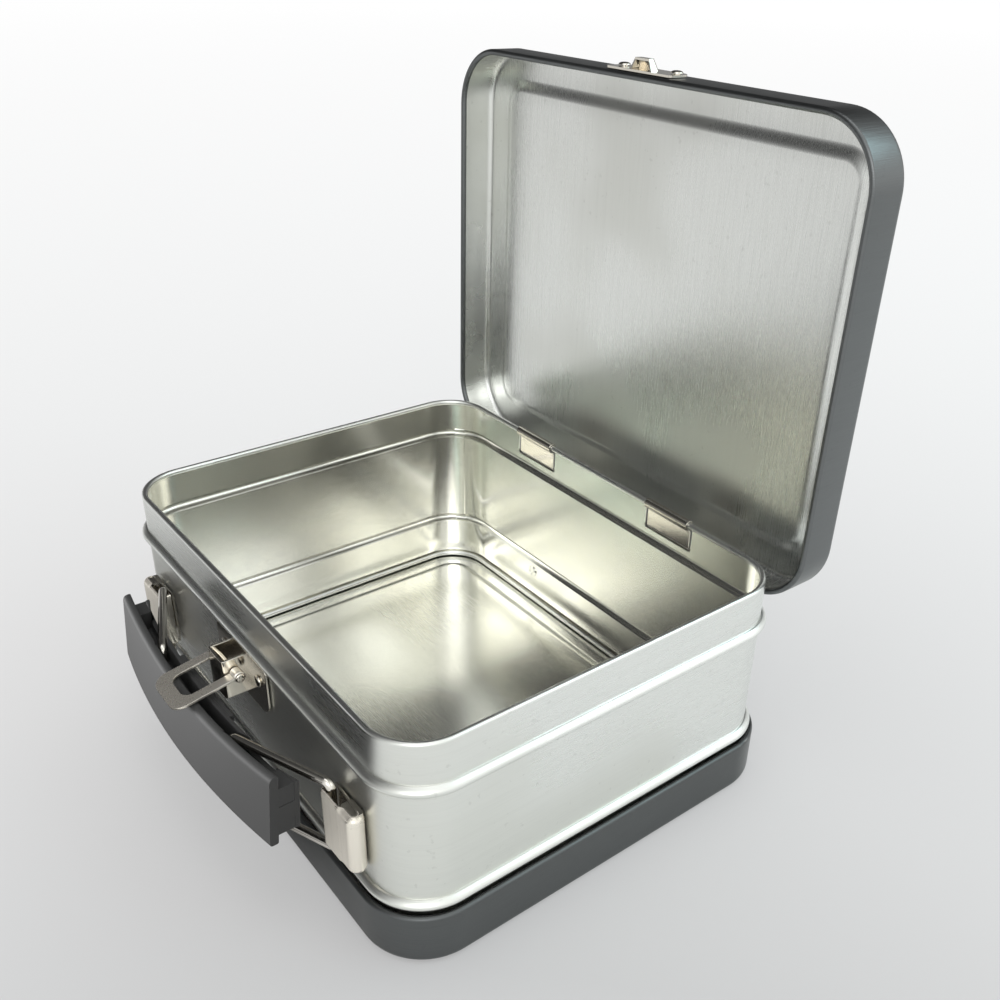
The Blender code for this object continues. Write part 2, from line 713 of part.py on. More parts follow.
def face_point(x, height, depth=0.0):
    """A point on the leaning outer face, or depth behind it."""
    low = (bow(GRIP_FACE_BOTTOM, x) + depth, GRIP_BOTTOM)
    high = (bow(GRIP_FACE_TOP, x) + depth, bow(GRIP_TOP, x))
    return between(low, high, height)


def inner_point(x, height, depth=0.0):
    """A point on the leaning inner face, or depth in front of it."""
    low = (bow(GRIP_INNER_BOTTOM, x) - depth, GRIP_WALL_BOTTOM)
    high = (bow(GRIP_INNER_TOP, x) - depth, GRIP_WALL_TOP)
    return between(low, high, height)


def grip_section(x):
    """The grip's section at x: outer plate, inner wall and the web between two channels."""
    top = bow(GRIP_TOP, x)
    return [
        face_point(x, GRIP_BOTTOM),
        face_point(x, top),
        face_point(x, top, GRIP_PLATE_SHEET),
        face_point(x, GRIP_WEB_TOP, GRIP_PLATE_SHEET),
        inner_point(x, GRIP_WEB_TOP, GRIP_WALL_SHEET),
        inner_point(x, GRIP_WALL_TOP, GRIP_WALL_SHEET),
        inner_point(x, GRIP_WALL_TOP),
        inner_point(x, GRIP_WALL_BOTTOM),
        inner_point(x, GRIP_WALL_BOTTOM, GRIP_WALL_SHEET),
        inner_point(x, GRIP_WEB_BOTTOM, GRIP_WALL_SHEET),
        face_point(x, GRIP_WEB_BOTTOM, GRIP_PLATE_SHEET),
        face_point(x, GRIP_BOTTOM, GRIP_PLATE_SHEET),
    ]


def end_block_section(x):
    """The solid end of the grip at x, from inside the outer plate to inside the inner wall."""
    face = GRIP_PLATE_SHEET / 2
    root = GRIP_WALL_SHEET / 2
    low = GRIP_WALL_BOTTOM + GRIP_LAND
    high = GRIP_WALL_TOP - GRIP_LAND
    return [face_point(x, low, face), face_point(x, high, face), inner_point(x, high, root), inner_point(x, low, root)]


def boss_section(x):
    """The raised middle of the inner wall at x, rooted inside the wall."""
    root = GRIP_WALL_SHEET / 2
    low = GRIP_WALL_BOTTOM + GRIP_LAND
    high = GRIP_WALL_TOP - GRIP_LAND
    return [inner_point(x, low, root), inner_point(x, high, root),
            inner_point(x, high, -GRIP_BOSS), inner_point(x, low, -GRIP_BOSS)]


def bowed_bar(name, section, low, high, steps):
    """A closed loft of one section along the grip, from x = low to x = high."""
    places = [low + (high - low) * i / steps for i in range(steps + 1)]
    rings = [[(x, y, z) for y, z in section(x)] for x in places]
    return mesh_from(loft(rings, fill_start=True, fill_end=True), name)


def leg_slot(side):
    """Plan of the slot for a ring's upper leg, wider at its far end for the ring's turn."""
    along = Vector((RING_RUN.x - RING_END.x, RING_RUN.y - RING_END.y)).normalized()
    across = Vector((-along.y, along.x))
    near = RING_END - along * LEG_SLOT_HALF / 2
    far = RING_END + along * LEG_SLOT_LENGTH
    corners = [near + across * LEG_SLOT_HALF, near - across * LEG_SLOT_HALF]
    corners += [far - across * (LEG_SLOT_HALF + LEG_SLOT_SPREAD), far + across * LEG_SLOT_HALF]
    return [(side * corner.x, corner.y) for corner in corners]


def grip(grip_carrier):
    """Bowed plastic grip: leaning plate, inner wall, web, solid ends and a raised middle."""
    mesh = bowed_bar("handle_grip", grip_section, -GRIP_HALF, GRIP_HALF, GRIP_STATIONS)
    made = piece("handle_grip", mesh, grip_carrier, "black_plastic")
    for side, label in ((-1, "left"), (1, "right")):
        ends = sorted((side * GRIP_SOLID_FROM, side * (GRIP_HALF - GRIP_LAND)))
        mesh = bowed_bar("end_block", end_block_section, ends[0], ends[1], 1)
        boolean(made, cutter("end_block_" + label, mesh, grip_carrier), "UNION")
    mesh = bowed_bar("inner_boss", boss_section, -GRIP_BOSS_HALF, GRIP_BOSS_HALF, 4)
    boolean(made, cutter("inner_boss", mesh, grip_carrier), "UNION")
    for side, label in ((-1, "left"), (1, "right")):
        socket = rod_mesh("ring_socket", SOCKET_RADIUS, SOCKET_LENGTH, "Z", steps=RIVET_STEPS)
        place = (side * RING_END.x, RING_END.y, (GRIP_WEB_TOP + GRIP_WEB_BOTTOM) / 2)
        boolean(made, cutter("ring_socket_" + label, socket, grip_carrier, location=place), "DIFFERENCE")
        slot = prism("leg_slot", leg_slot(side), *LEG_SLOT)
        boolean(made, cutter("leg_slot_" + label, slot, grip_carrier), "DIFFERENCE")
    smooth(made)


def main():
    clear_scene()
    new_collection(COLLECTION)
    new_collection(CUTTERS)
    base = empty("base_frame", None, (0.0, 0.0, -PANEL_RISE))
    body_band(base)
    bottom_pan(base)
    hinge_straps(base)
    latch_base(base)
    latch_pin(base)
    rivets(latch_rivets(), base)
    brackets(base)
    rivets(bracket_rivets(), base)
    latch_loop(base)
    lid = empty("lid_hinge", base, hinge_axis(), turn=(-LID_OPEN_ANGLE, 0.0, 0.0))
    lid_pan(lid)
    hinge_pins(lid)
    keeper(lid)
    rivets(keeper_rivets(), lid, -hinge_axis())
    grip_carrier = empty("handle_slide", base, (0.0, 0.0, 0.0))
    grip(grip_carrier)
    wire_rings(grip_carrier)


main()
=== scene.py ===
"""Looks of a plain tin lunch box: rolled sheet metal, nickelled fittings and a moulded grip.

Lengths are metres.  X runs along the latch side, -Y is the latch side, +Y the hinge side and
+Z is up.  Heights in the shapes below start at the plane that the box stands on, and the
function placed() lowers them into the frame.
"""
import json
import math

import bmesh
import bpy
import numpy as np
from bpy.props import FloatProperty, FloatVectorProperty, PointerProperty
from mathutils import Matrix, Vector


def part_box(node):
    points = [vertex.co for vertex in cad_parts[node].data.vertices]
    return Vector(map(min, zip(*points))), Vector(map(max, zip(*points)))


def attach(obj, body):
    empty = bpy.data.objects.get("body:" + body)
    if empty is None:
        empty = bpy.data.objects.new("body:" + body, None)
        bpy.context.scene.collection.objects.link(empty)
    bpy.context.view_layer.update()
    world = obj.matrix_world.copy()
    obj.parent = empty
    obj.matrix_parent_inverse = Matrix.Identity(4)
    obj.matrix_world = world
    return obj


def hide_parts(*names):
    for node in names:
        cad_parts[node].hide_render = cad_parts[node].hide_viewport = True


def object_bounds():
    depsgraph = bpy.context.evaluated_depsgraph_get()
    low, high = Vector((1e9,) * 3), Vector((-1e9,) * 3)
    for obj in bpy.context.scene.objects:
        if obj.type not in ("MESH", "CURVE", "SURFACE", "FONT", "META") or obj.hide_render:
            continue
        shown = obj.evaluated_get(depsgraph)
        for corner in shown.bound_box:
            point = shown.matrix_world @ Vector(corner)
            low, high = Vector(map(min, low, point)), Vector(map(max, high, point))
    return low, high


bl_info = {
    "name": "Tin Lunch Box",
    "version": (1, 0, 0),
    "blender": (4, 5, 0),
    "location": "View3D > Sidebar > Lunch Box",
    "description": "Builds the fine sheet metal, fittings, grip and stage of a tin lunch box",
    "category": "Add Mesh",
}

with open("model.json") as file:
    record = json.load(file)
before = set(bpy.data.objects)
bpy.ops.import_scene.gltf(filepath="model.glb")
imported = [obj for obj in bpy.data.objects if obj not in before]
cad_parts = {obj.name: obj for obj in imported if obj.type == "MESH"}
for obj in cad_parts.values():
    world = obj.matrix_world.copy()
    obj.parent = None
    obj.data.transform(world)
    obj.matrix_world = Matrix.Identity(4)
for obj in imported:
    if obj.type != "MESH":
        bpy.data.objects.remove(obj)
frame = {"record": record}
FRAME_BOUNDS = [list(corner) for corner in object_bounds()]
STAND = FRAME_BOUNDS[0][2]
JOINTS = {joint["name"]: joint for joint in frame["record"]["behaviour"]["joints"]}
PAN_LOW, PAN_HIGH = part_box("bottom_pan")
BAND_LOW, BAND_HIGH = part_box("body_band")
HINGE_Y = JOINTS["lid_hinge"]["pos_m"][1]
HINGE_HEIGHT = JOINTS["lid_hinge"]["pos_m"][2] - STAND
LID_ANGLE = math.radians(JOINTS["lid_hinge"]["range_deg"][1])
LATCH_PIVOT = (JOINTS["latch_swing"]["pos_m"][1], JOINTS["latch_swing"]["pos_m"][2] - STAND)
SIDES = ((-1, "left"), (1, "right"))

# --- sizes of the fittings, in the frame's metres; heights are above the standing plane ----
WINDOW = (0.0698, 0.0790)
WINDOW_GAP = 0.0012
WINDOW_REACH = (0.004, 0.002)
NOTCH_GAP = 0.0007
NOTCH_HEIGHT = 0.0033
NOTCH_REACH = (0.0016, 0.003)
NOTCH_BELOW = 0.001
PANEL_OVERLAP = 0.0045
CURL_END_ANGLE = 262
BEAD_ROUNDNESS = 0.8
SEAM_HEIGHTS = (0.0032, 0.0797)
SEAM_ANGLES = (126.0, 140.0)
SEAM_SHEET = 1.1
STAMP = (-0.0398, 0.0150)
STAMP_RISE = 0.0003
STAMP_RADII = (0.0006, 0.0008, 0.0015, 0.0017, 0.0021, 0.0024)
PART_GAP = 0.0003
# the least radius or overlap in the shapes, and the usual small chamfer
HAIR = 0.0001
EASE = 0.0002
STRAP_SHEET = 0.0005
STRAP_HOOK = 0.0005
STRAP_STEP = 0.0005
STRAP_ROOT = 0.0006
STRAP_BENDS = (0.0796, 0.0783, 0.0776, 0.0716, 0.0705)
STRAP_BEVEL = 0.00012
PIN_END = 0.7
LATCH_SHEET = 0.0008
BRACKET_SHEET = 0.0008
KEEPER_SHEET = 0.0007
RIVET_HEAD = 0.0021
RIVET_SHANK = 0.0012
RIVET_DOME = 0.0008
RIVET_TAIL = 0.0006
RIVET_GAP = 0.0003
RIVET_STEP = 0.00002
RIVET_FLARE = 0.0003
RIVET_ROUNDNESS = 0.8
KEEPER_RIVET_HEIGHT = 0.0748
KEEPER_HEIGHTS = (0.0688, 0.0785)
KEEPER_ROUNDS = (0.0016, 0.0036)
KEEPER_BEVEL = 0.00018
HOOD_ROOT = np.array([0.00495, 0.0704, 0.07425])
HOOD_NOSE = np.array([0.00295, 0.0708, 0.07325])
HOOD_FRONT = -0.0846
HOOD_ROUND = 0.0009
HOOD_FILL = 0.45
LATCH_ROUNDS = (0.0048, 0.0016)
LATCH_BEVEL = 0.0002
LUG_FOLD = 0.0006
LUG_ROOT = 0.0004
PIVOT_HEAD = ((0.0001, 0.0), (0.0011, 0.0), (0.0015, 0.0002), (0.0016, 0.0004), (0.0016, 0.0006),
              (0.0010, 0.0006))
LUG_HALF = 0.0055
LUG_HEIGHTS = (0.0485, 0.0630)
LOOP_SIZE = (0.0097, 0.0037, 0.0222, 0.0049)
LOOP_ROUNDS = (0.0046, 0.0034)
LOOP_STRAIGHTS = (0.004, 0.002)
LOOP_ROOT = -0.0012
LOOP_BOW = 0.0006
LOOP_SHEET = 0.0010
EYE_RADII = (0.0013, 0.0016, 0.0019)
EYE_EASE = 0.0003
LOOP_DROOP = math.radians(10)
BRACKET_BOX = (0.0608, 0.0790, 0.0286, 0.0504)
BRACKET_BASE_Y = -0.0772
BRACKET_FRONT_Y = -0.0822
BRACKET_POCKET = 0.0085
BRACKET_EDGE = 0.0016
BRACKET_LIP = 0.0012
BRACKET_TIGHT = 0.00042
BRACKET_BLEND = 0.002
BRACKET_CAP_ROUNDS = (0.0002, 0.0008, 0.0010, 0.0010)
WIRE_RADIUS = 0.0015
WIRE_BEND = 0.0024
RING_RUN = (0.0635, -0.0799)
RING_END = (0.0274, -0.0942)
RING_LEGS = (0.0523, 0.0268)
RING_TIPS = (0.0439, 0.0431)
GRIP_HALF = 0.0578
GRIP_TOP = (0.0543, 0.0582)
GRIP_BOTTOM = 0.0332
GRIP_FACE_TOP = (-0.0992, -0.0957)
GRIP_FACE_BOTTOM = (-0.1033, -0.0980)
GRIP_INNER_TOP = (-0.0915, -0.0869)
GRIP_INNER_BOTTOM = (-0.0926, -0.0880)
GRIP_WALL = (0.0360, 0.0534)
GRIP_WEB = (0.0410, 0.0465)
GRIP_PLATE_SHEET = 0.0028
GRIP_WALL_SHEET = 0.0015
GRIP_SOLID = 0.0500
GRIP_BOSS_HALF = 0.0195
GRIP_BOSS = 0.0016
LEG_SLOT = (0.0495, 0.0560)
LEG_SLOT_HALF = 0.0019
LEG_SLOT_LENGTH = 0.030
LEG_SLOT_TURN = 0.0026
GRIP_HIDE = 0.0002
GRIP_END_DEPTH = 0.0014
GRIP_BOSS_ROOT = 0.0008
GRIP_END_ROUND = 0.0006
GRIP_BOSS_ROUND = 0.0005
GRIP_BEVEL = 0.0004
GRIP_ROUNDS = np.array([1.2, 1.8, 0.7, 0.6, 0.5, 0.5, 0.5, 0.5, 0.5, 0.5, 0.6, 0.7]) / 1000
# painted light and shade: one pewter coat, scaled darker on the base pan and lighter on the lid
PAN_PAINTED_SHADE = 0.95
LID_PAINTED_LIGHT = 1.35


# --- settings that a user would change -------------------------------------------

class TinSettings(bpy.types.PropertyGroup):
    """Sizes of the sheet metal."""
    sheet: FloatProperty(
        name="Sheet", description="Thickness of the tinplate", default=0.0004, unit="LENGTH")
    corner: FloatProperty(
        name="Corner", description="Corner radius of the pans in plan", default=0.0219, unit="LENGTH")
    curl: FloatProperty(
        name="Curl", description="Outer radius of a rolled edge", default=0.0011, unit="LENGTH")
    inset: FloatProperty(
        name="Band inset", description="How far the body wall stands inside the pans",
        default=0.0035, unit="LENGTH")
    bead: FloatProperty(
        name="Bead", description="How far the two beads stand out", default=0.0021, unit="LENGTH")
    bead_height: FloatProperty(
        name="Bead height", description="Height of a bead from foot to top", default=0.0042, unit="LENGTH")
    lower_bead: FloatProperty(
        name="Lower bead", description="Height of the lower bead's foot", default=0.0194, unit="LENGTH")
    upper_bead: FloatProperty(
        name="Upper bead", description="Height of the upper bead's foot", default=0.0634, unit="LENGTH")
    lid_depth: FloatProperty(
        name="Lid depth", description="Depth of the lid from its hem to its top",
        default=0.0160, unit="LENGTH")
    edge: FloatProperty(
        name="Pan edge", description="Radius between a pan's skirt and its face",
        default=0.0031, unit="LENGTH")
    ring: FloatProperty(
        name="Ring", description="Distance from the outline to the pressed slope",
        default=0.0110, unit="LENGTH")
    slope: FloatProperty(
        name="Slope", description="Width of the pressed slope round the panel",
        default=0.0050, unit="LENGTH")
    rise: FloatProperty(
        name="Panel rise", description="How far the panel is pressed in", default=0.0013, unit="LENGTH")


class FinishSettings(bpy.types.PropertyGroup):
    """Colours of the finishes."""
    bright: FloatVectorProperty(
        name="Bright tin", description="Clean tinplate", subtype="COLOR", size=3,
        default=(0.80, 0.81, 0.79))
    aged: FloatVectorProperty(
        name="Aged tin", description="Clouds of oxide on the tinplate", subtype="COLOR", size=3,
        default=(0.56, 0.56, 0.48))
    lining: FloatVectorProperty(
        name="Lining", description="Warmer tinplate of the inside", subtype="COLOR", size=3,
        default=(0.90, 0.895, 0.84))
    pewter: FloatVectorProperty(
        name="Pewter", description="Dark outer coat of the pans", subtype="COLOR", size=3,
        default=(0.115, 0.120, 0.122))
    nickel: FloatVectorProperty(
        name="Nickel", description="Warm nickel plate", subtype="COLOR", size=3, default=(0.66, 0.62, 0.55))
    plastic: FloatVectorProperty(
        name="Plastic", description="Black of the grip", subtype="COLOR", size=3,
        default=(0.003, 0.003, 0.0032))


class LunchBoxSettings(bpy.types.PropertyGroup):
    """All settings of the lunch box."""
    tin: PointerProperty(type=TinSettings, name="Tin", description="Sizes of the sheet metal")
    finish: PointerProperty(type=FinishSettings, name="Finish", description="Colours of the finishes")


def settings():
    return bpy.context.scene.lunch_box


# --- surfaces ---------------------------------------------------------------------

def arc(centre, radius, start, stop, count):
    """Points (count, 2) at centre + radius (cos a, sin a), a even from start to stop in degrees."""
    angle = np.radians(np.linspace(start, stop, count))
    return np.stack([centre[0] + radius * np.cos(angle), centre[1] + radius * np.sin(angle)], axis=1)


def path(*stretches):
    """Stretches of a line in a plane, joined end to end."""
    return np.concatenate([np.atleast_2d(np.asarray(stretch, float)) for stretch in stretches])


def normals(line, closed=False):
    """Unit normals of a line: each is the mean direction of its two neighbours turned a quarter left."""
    if closed:
        along = np.roll(line, -1, axis=0) - np.roll(line, 1, axis=0)
    else:
        along = np.gradient(line, axis=0)
    along /= np.linalg.norm(along, axis=1, keepdims=True)
    return np.stack([-along[:, 1], along[:, 0]], axis=1)


def both_sides(line, thickness):
    """A sheet's section: the line moved half a thickness to its left, then back along its right."""
    out = normals(line) * thickness / 2
    return np.concatenate([line + out, (line - out)[::-1]])


def rounded(corners, radii, steps=5):
    """Closed outlines (..., corners, 2), each corner a quadratic curve between its two ends."""
    corners = np.asarray(corners, float)
    reach = np.broadcast_to(np.asarray(radii, float), corners.shape[-2])[:, None, None]
    before = np.roll(corners, 1, axis=-2) - corners
    after = np.roll(corners, -1, axis=-2) - corners
    before /= np.linalg.norm(before, axis=-1, keepdims=True)
    after /= np.linalg.norm(after, axis=-1, keepdims=True)
    t = np.linspace(0, 1, steps)[:, None]
    curve = before[..., None, :] * reach * (1 - t) ** 2 + after[..., None, :] * reach * t ** 2
    curve += corners[..., None, :]
    return curve.reshape(corners.shape[:-2] + (-1, 2))


def grid_faces(rows, columns, close_rows, close_columns):
    """Quads between neighbours of a grid of rows by columns, wrapping round where it is closed."""
    row = np.arange(rows if close_rows else rows - 1)[:, None]
    column = np.arange(columns if close_columns else columns - 1)[None, :]
    below = (row + 1) % rows
    right = (column + 1) % columns
    corners = [row * columns + column, row * columns + right,
               below * columns + right, below * columns + column]
    return np.stack(np.broadcast_arrays(*corners), axis=-1).reshape(-1, 4)


class Surface:
    """A grid of points (rows, columns, 3) with its faces, caps and the finish of each face."""

    def __init__(self, points, close_rows=False, close_columns=False, caps=False):
        rows, columns = points.shape[:2]
        self.points = points.reshape(-1, 3)
        self.faces = grid_faces(rows, columns, close_rows, close_columns).tolist()
        self.quads = len(self.faces)
        if caps:
            self.faces.append(list(range(columns)))
            self.faces.append(list(range((rows - 1) * columns, rows * columns)))
        self.finish = np.zeros(len(self.faces), int)

    def moved(self, change):
        self.points = change(self.points)
        return self


def placed(points):
    """Heights from the standing plane lowered into the frame."""
    return points + np.array([0.0, 0.0, STAND])


def lid_opened(points):
    """Points of the closed lid turned about the hinge axis to the open lid, then placed."""
    y = points[:, 1] - HINGE_Y
    z = points[:, 2] - HINGE_HEIGHT
    turned_y = y * math.cos(LID_ANGLE) + z * math.sin(LID_ANGLE)
    turned_z = z * math.cos(LID_ANGLE) - y * math.sin(LID_ANGLE)
    return placed(np.stack([points[:, 0], turned_y + HINGE_Y, turned_z + HINGE_HEIGHT], axis=1))


def smooth(made, angle=38.0):
    made.data.shade_smooth()
    made.data.set_sharp_from_angle(angle=math.radians(angle))


def piece(name, surfaces, body, materials, nodes=()):
    """One finished object from its surfaces, riding on a body and standing for its CAD nodes."""
    counts = np.cumsum([0] + [len(surface.points) for surface in surfaces])
    points = np.concatenate([surface.points for surface in surfaces])
    faces = [[index + shift for index in face]
             for surface, shift in zip(surfaces, counts) for face in surface.faces]
    mesh = bpy.data.meshes.new(name)
    mesh.from_pydata(points, [], faces)
    mesh.polygons.foreach_set("material_index", np.concatenate([surface.finish for surface in surfaces]))
    bm = bmesh.new()
    bm.from_mesh(mesh)
    bmesh.ops.recalc_face_normals(bm, faces=bm.faces)
    bm.to_mesh(mesh)
    bm.free()
    made = bpy.data.objects.new(name, mesh)
    bpy.context.scene.collection.objects.link(made)
    for material in materials:
        mesh.materials.append(material)
    smooth(made)
    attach(made, body)
    for node in nodes:
        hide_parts(node)
    return made


def cut(made, tools):
    """Cuts closed surfaces out of a piece with exact Booleans and keeps the result as its mesh."""
    for number, tool in enumerate(tools):
        mesh = bpy.data.meshes.new("tool")
        mesh.from_pydata(tool.points, [], tool.faces)
        bm = bmesh.new()
        bm.from_mesh(mesh)
        bmesh.ops.recalc_face_normals(bm, faces=bm.faces)
        bm.to_mesh(mesh)
        bm.free()
        cutter = bpy.data.objects.new("tool", mesh)
        bpy.context.scene.collection.objects.link(cutter)
        modifier = made.modifiers.new("cut_%d" % number, "BOOLEAN")
        modifier.operation = "DIFFERENCE"
        modifier.solver = "EXACT"
        modifier.object = cutter
        bpy.context.view_layer.update()
        evaluated = made.evaluated_get(bpy.context.evaluated_depsgraph_get())
        result = bpy.data.meshes.new_from_object(evaluated)
        made.modifiers.clear()
        old = made.data
        made.data = result
        bpy.data.meshes.remove(old)
        bpy.data.objects.remove(cutter, do_unlink=True)
    made.data.name = made.name
    smooth(made)


def bevel(made, width, segments=3, angle=50.0):
    modifier = made.modifiers.new("eased_edges", "BEVEL")
    modifier.width = width
    modifier.segments = segments
    modifier.limit_method = "ANGLE"
    modifier.angle_limit = math.radians(angle)
    modifier.harden_normals = True


def block(low, high):
    """A closed box between two corners, as a square of four points drawn from low to high."""
    x = np.array([low[0], high[0], high[0], low[0]])
    y = np.array([low[1], low[1], high[1], high[1]])
    points = [np.stack([x, y, np.full(4, z)], axis=1) for z in (low[2], high[2])]
    return Surface(np.array(points), close_columns=True, caps=True)


def swept_round(half_x, half_y, radius, profile, corner_steps=22):
    """A profile of (inset, height) carried round a rounded rectangle.

    Each outline point is a corner's centre plus the outward normal times the radius less the inset.
    """
    starts = (0, 90, 180, 270)
    angle = np.radians(np.concatenate([np.linspace(start, start + 90, corner_steps) for start in starts]))
    out = np.stack([np.cos(angle), np.sin(angle)], axis=1)
    quarter = np.repeat(np.arange(4), corner_steps)
    sign = np.array([[1, 1], [-1, 1], [-1, -1], [1, -1]])[quarter]
    centre = sign * np.array([half_x - radius, half_y - radius])
    reach = radius - profile[:, 0]
    flat = centre[None] + out[None] * reach[:, None, None]
    height = np.broadcast_to(profile[:, 1][:, None, None], flat.shape[:2] + (1,))
    return np.concatenate([flat, height], axis=2)


def drawn(outline, axis, low, high):
    """A closed outline in the plane across an axis, drawn along that axis from low to high."""
    order = {"X": (2, 0, 1), "Y": (0, 2, 1), "Z": (0, 1, 2)}[axis]
    rings = [np.column_stack([outline, np.full(len(outline), level)])[:, order] for level in (low, high)]
    return Surface(np.array(rings), close_columns=True, caps=True)


def turned(profile, centre, axis, steps=40):
    """A profile of (radius, height) spun about an axis through a centre, with a disc at each end."""
    angle = np.linspace(0, 2 * math.pi, steps, endpoint=False)
    radius = profile[:, 0][:, None]
    parts = {
        "a": radius * np.cos(angle),
        "b": radius * np.sin(angle),
        "h": np.broadcast_to(profile[:, 1][:, None], (len(profile), steps)),
    }
    order = {"X": "hab", "Y": "ahb", "Z": "abh"}[axis]
    points = np.stack([parts[key] for key in order], axis=-1) + np.asarray(centre)
    return Surface(points, close_columns=True, caps=True)


def tube(line, radius, plane_normal, steps=24):
    """A round wire: at each point of a plane line, a circle across it, spanned by the plane's normal."""
    along = np.gradient(line, axis=0)
    along /= np.linalg.norm(along, axis=1, keepdims=True)
    up = np.broadcast_to(np.asarray(plane_normal, float), line.shape)
    side = np.cross(along, up)
    angle = np.linspace(0, 2 * math.pi, steps, endpoint=False)[None, :, None]
    points = line[:, None] + radius * (np.cos(angle) * up[:, None] + np.sin(angle) * side[:, None])
    return Surface(points, close_columns=True, caps=True)


# --- sheet metal shells -------------------------------------------------------------

def rolled_edge(wall_inset, edge, side):
    """A rolled edge's middle line from its free end to the wall; side is 1 at an upper edge."""
    tin = settings().tin
    radius = tin.curl - tin.sheet / 2
    circle = arc((0.0, 0.0), radius, CURL_END_ANGLE, 0, 24)
    inset = wall_inset + tin.sheet / 2 + radius - circle[:, 0]
    height = edge - side * tin.curl + side * circle[:, 1]
    return np.stack([inset, height], axis=1)


def bead_line(foot):
    """A bead: it stands out by the sine of its height's share of half a turn, raised to 0.8."""
    tin = settings().tin
    share = np.linspace(0, 1, 23)
    out = tin.bead * np.sin(math.pi * share) ** BEAD_ROUNDNESS
    return np.stack([tin.inset + tin.sheet / 2 - out, foot + share * tin.bead_height], axis=1)


def band_line():
    tin = settings().tin
    low = BAND_LOW.z - STAND
    high = BAND_HIGH.z - STAND
    return path(rolled_edge(tin.inset, low, -1), bead_line(tin.lower_bead), bead_line(tin.upper_bead),
                rolled_edge(tin.inset, high, 1)[::-1])


def pan_line(hem, depth, side):
    """A pan's middle line from its rolled hem over its skirt, edge, ring and slope to the panel."""
    tin = settings().tin
    wall = tin.sheet / 2
    radius = tin.edge - wall
    face = hem + side * (depth - wall)
    edge = arc((0.0, 0.0), radius, 180, 90, 12)
    edge = np.stack([wall + radius + edge[:, 0], face - side * radius + side * edge[:, 1]], axis=1)
    share = np.linspace(0, 1, 11)
    ease = share ** 2 * (3 - 2 * share)
    slope = np.stack([tin.ring + tin.slope * share, face - side * tin.rise * ease], axis=1)
    end = (tin.ring + tin.slope + PANEL_OVERLAP, face - side * tin.rise)
    return path(rolled_edge(0.0, hem, -side), edge, slope, end)


def pan_surface(hem, depth, side):
    """A pan: its section goes in from the panel along one face of the sheet, round the hem and back."""
    tin = settings().tin
    line = pan_line(hem, depth, side)
    section = both_sides(line[::-1], tin.sheet)
    grid = swept_round(PAN_HIGH.x, PAN_HIGH.y, tin.corner, section)
    surface = Surface(grid, close_columns=True, caps=True)
    columns = len(surface.points) // len(section)
    first = (len(line) - 1) * columns
    outer_first = int(side < 0)
    surface.finish[:first] = outer_first
    surface.finish[first:surface.quads] = 1 - outer_first
    surface.finish[surface.quads:] = (outer_first, 1 - outer_first)
    return surface


def seam_shape():
    """The side seam: a flat rib that follows the band's section on the inside of the back left corner.

    Each section is the band's middle line moved inwards, carried over a short part of the corner's arc.
    """
    tin = settings().tin
    line = band_line()
    line = line[(line[:, 1] > SEAM_HEIGHTS[0]) & (line[:, 1] < SEAM_HEIGHTS[1])]
    section = both_sides(line + [SEAM_SHEET * tin.sheet, 0.0], SEAM_SHEET * tin.sheet)
    angle = np.radians(np.linspace(*SEAM_ANGLES, 8))
    out = np.stack([np.cos(angle), np.sin(angle)], axis=1)
    centre = np.array([PAN_LOW.x + tin.corner, PAN_HIGH.y - tin.corner])
    flat = centre + out[:, None] * (tin.corner - section[:, 0])[None, :, None]
    height = np.broadcast_to(section[None, :, 1:], flat.shape[:2] + (1,))
    return Surface(np.concatenate([flat, height], axis=2), close_columns=True, caps=True).moved(placed)


class LUNCHBOX_OT_body_band(bpy.types.Operator):
    """Body band: rolled foot and rim, two beads, the windows of the hinges and the side seam"""
    bl_idname = "lunch_box.body_band"
    bl_label = "Body Band"

    def execute(self, context):
        tin = settings().tin
        section = both_sides(band_line(), tin.sheet)
        grid = swept_round(PAN_HIGH.x, PAN_HIGH.y, tin.corner, section)
        surface = Surface(grid, close_rows=True, close_columns=True).moved(placed)
        half = len(surface.finish) // 2
        surface.finish[:half] = 1
        surface.finish[half:] = 0
        finishes = [tin_inside(), tin_outside()]
        made = piece("body_band_fine", [surface], "tin", finishes, ["body_band"])
        wall = PAN_HIGH.y - tin.inset
        windows = []
        for _, label in SIDES:
            low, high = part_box("hinge_strap_" + label)
            near = (low.x - WINDOW_GAP, wall - WINDOW_REACH[0], WINDOW[0])
            far = (high.x + WINDOW_GAP, wall + WINDOW_REACH[1], WINDOW[1])
            windows.append(block(near, far).moved(placed))
        cut(made, windows)
        piece("side_seam", [seam_shape()], "tin", [tin_inside()])
        pip, foot, ring, crest, dip, rim = STAMP_RADII
        profile = path((HAIR, -STAMP_RISE), (pip, -STAMP_RISE), (foot, 0.0), (ring, 0.0),
                       (crest, -STAMP_RISE), (dip, -STAMP_RISE), (rim, 0.0), (rim, STAMP_RISE),
                       (HAIR, STAMP_RISE))
        mark = turned(profile, (0, 0, 0), "Y")
        mark.points += np.array([STAMP[0], wall - tin.sheet - STAMP_RISE, STAMP[1]])
        piece("round_stamp", [mark.moved(placed)], "tin", [tin_inside()])
        return {"FINISHED"}


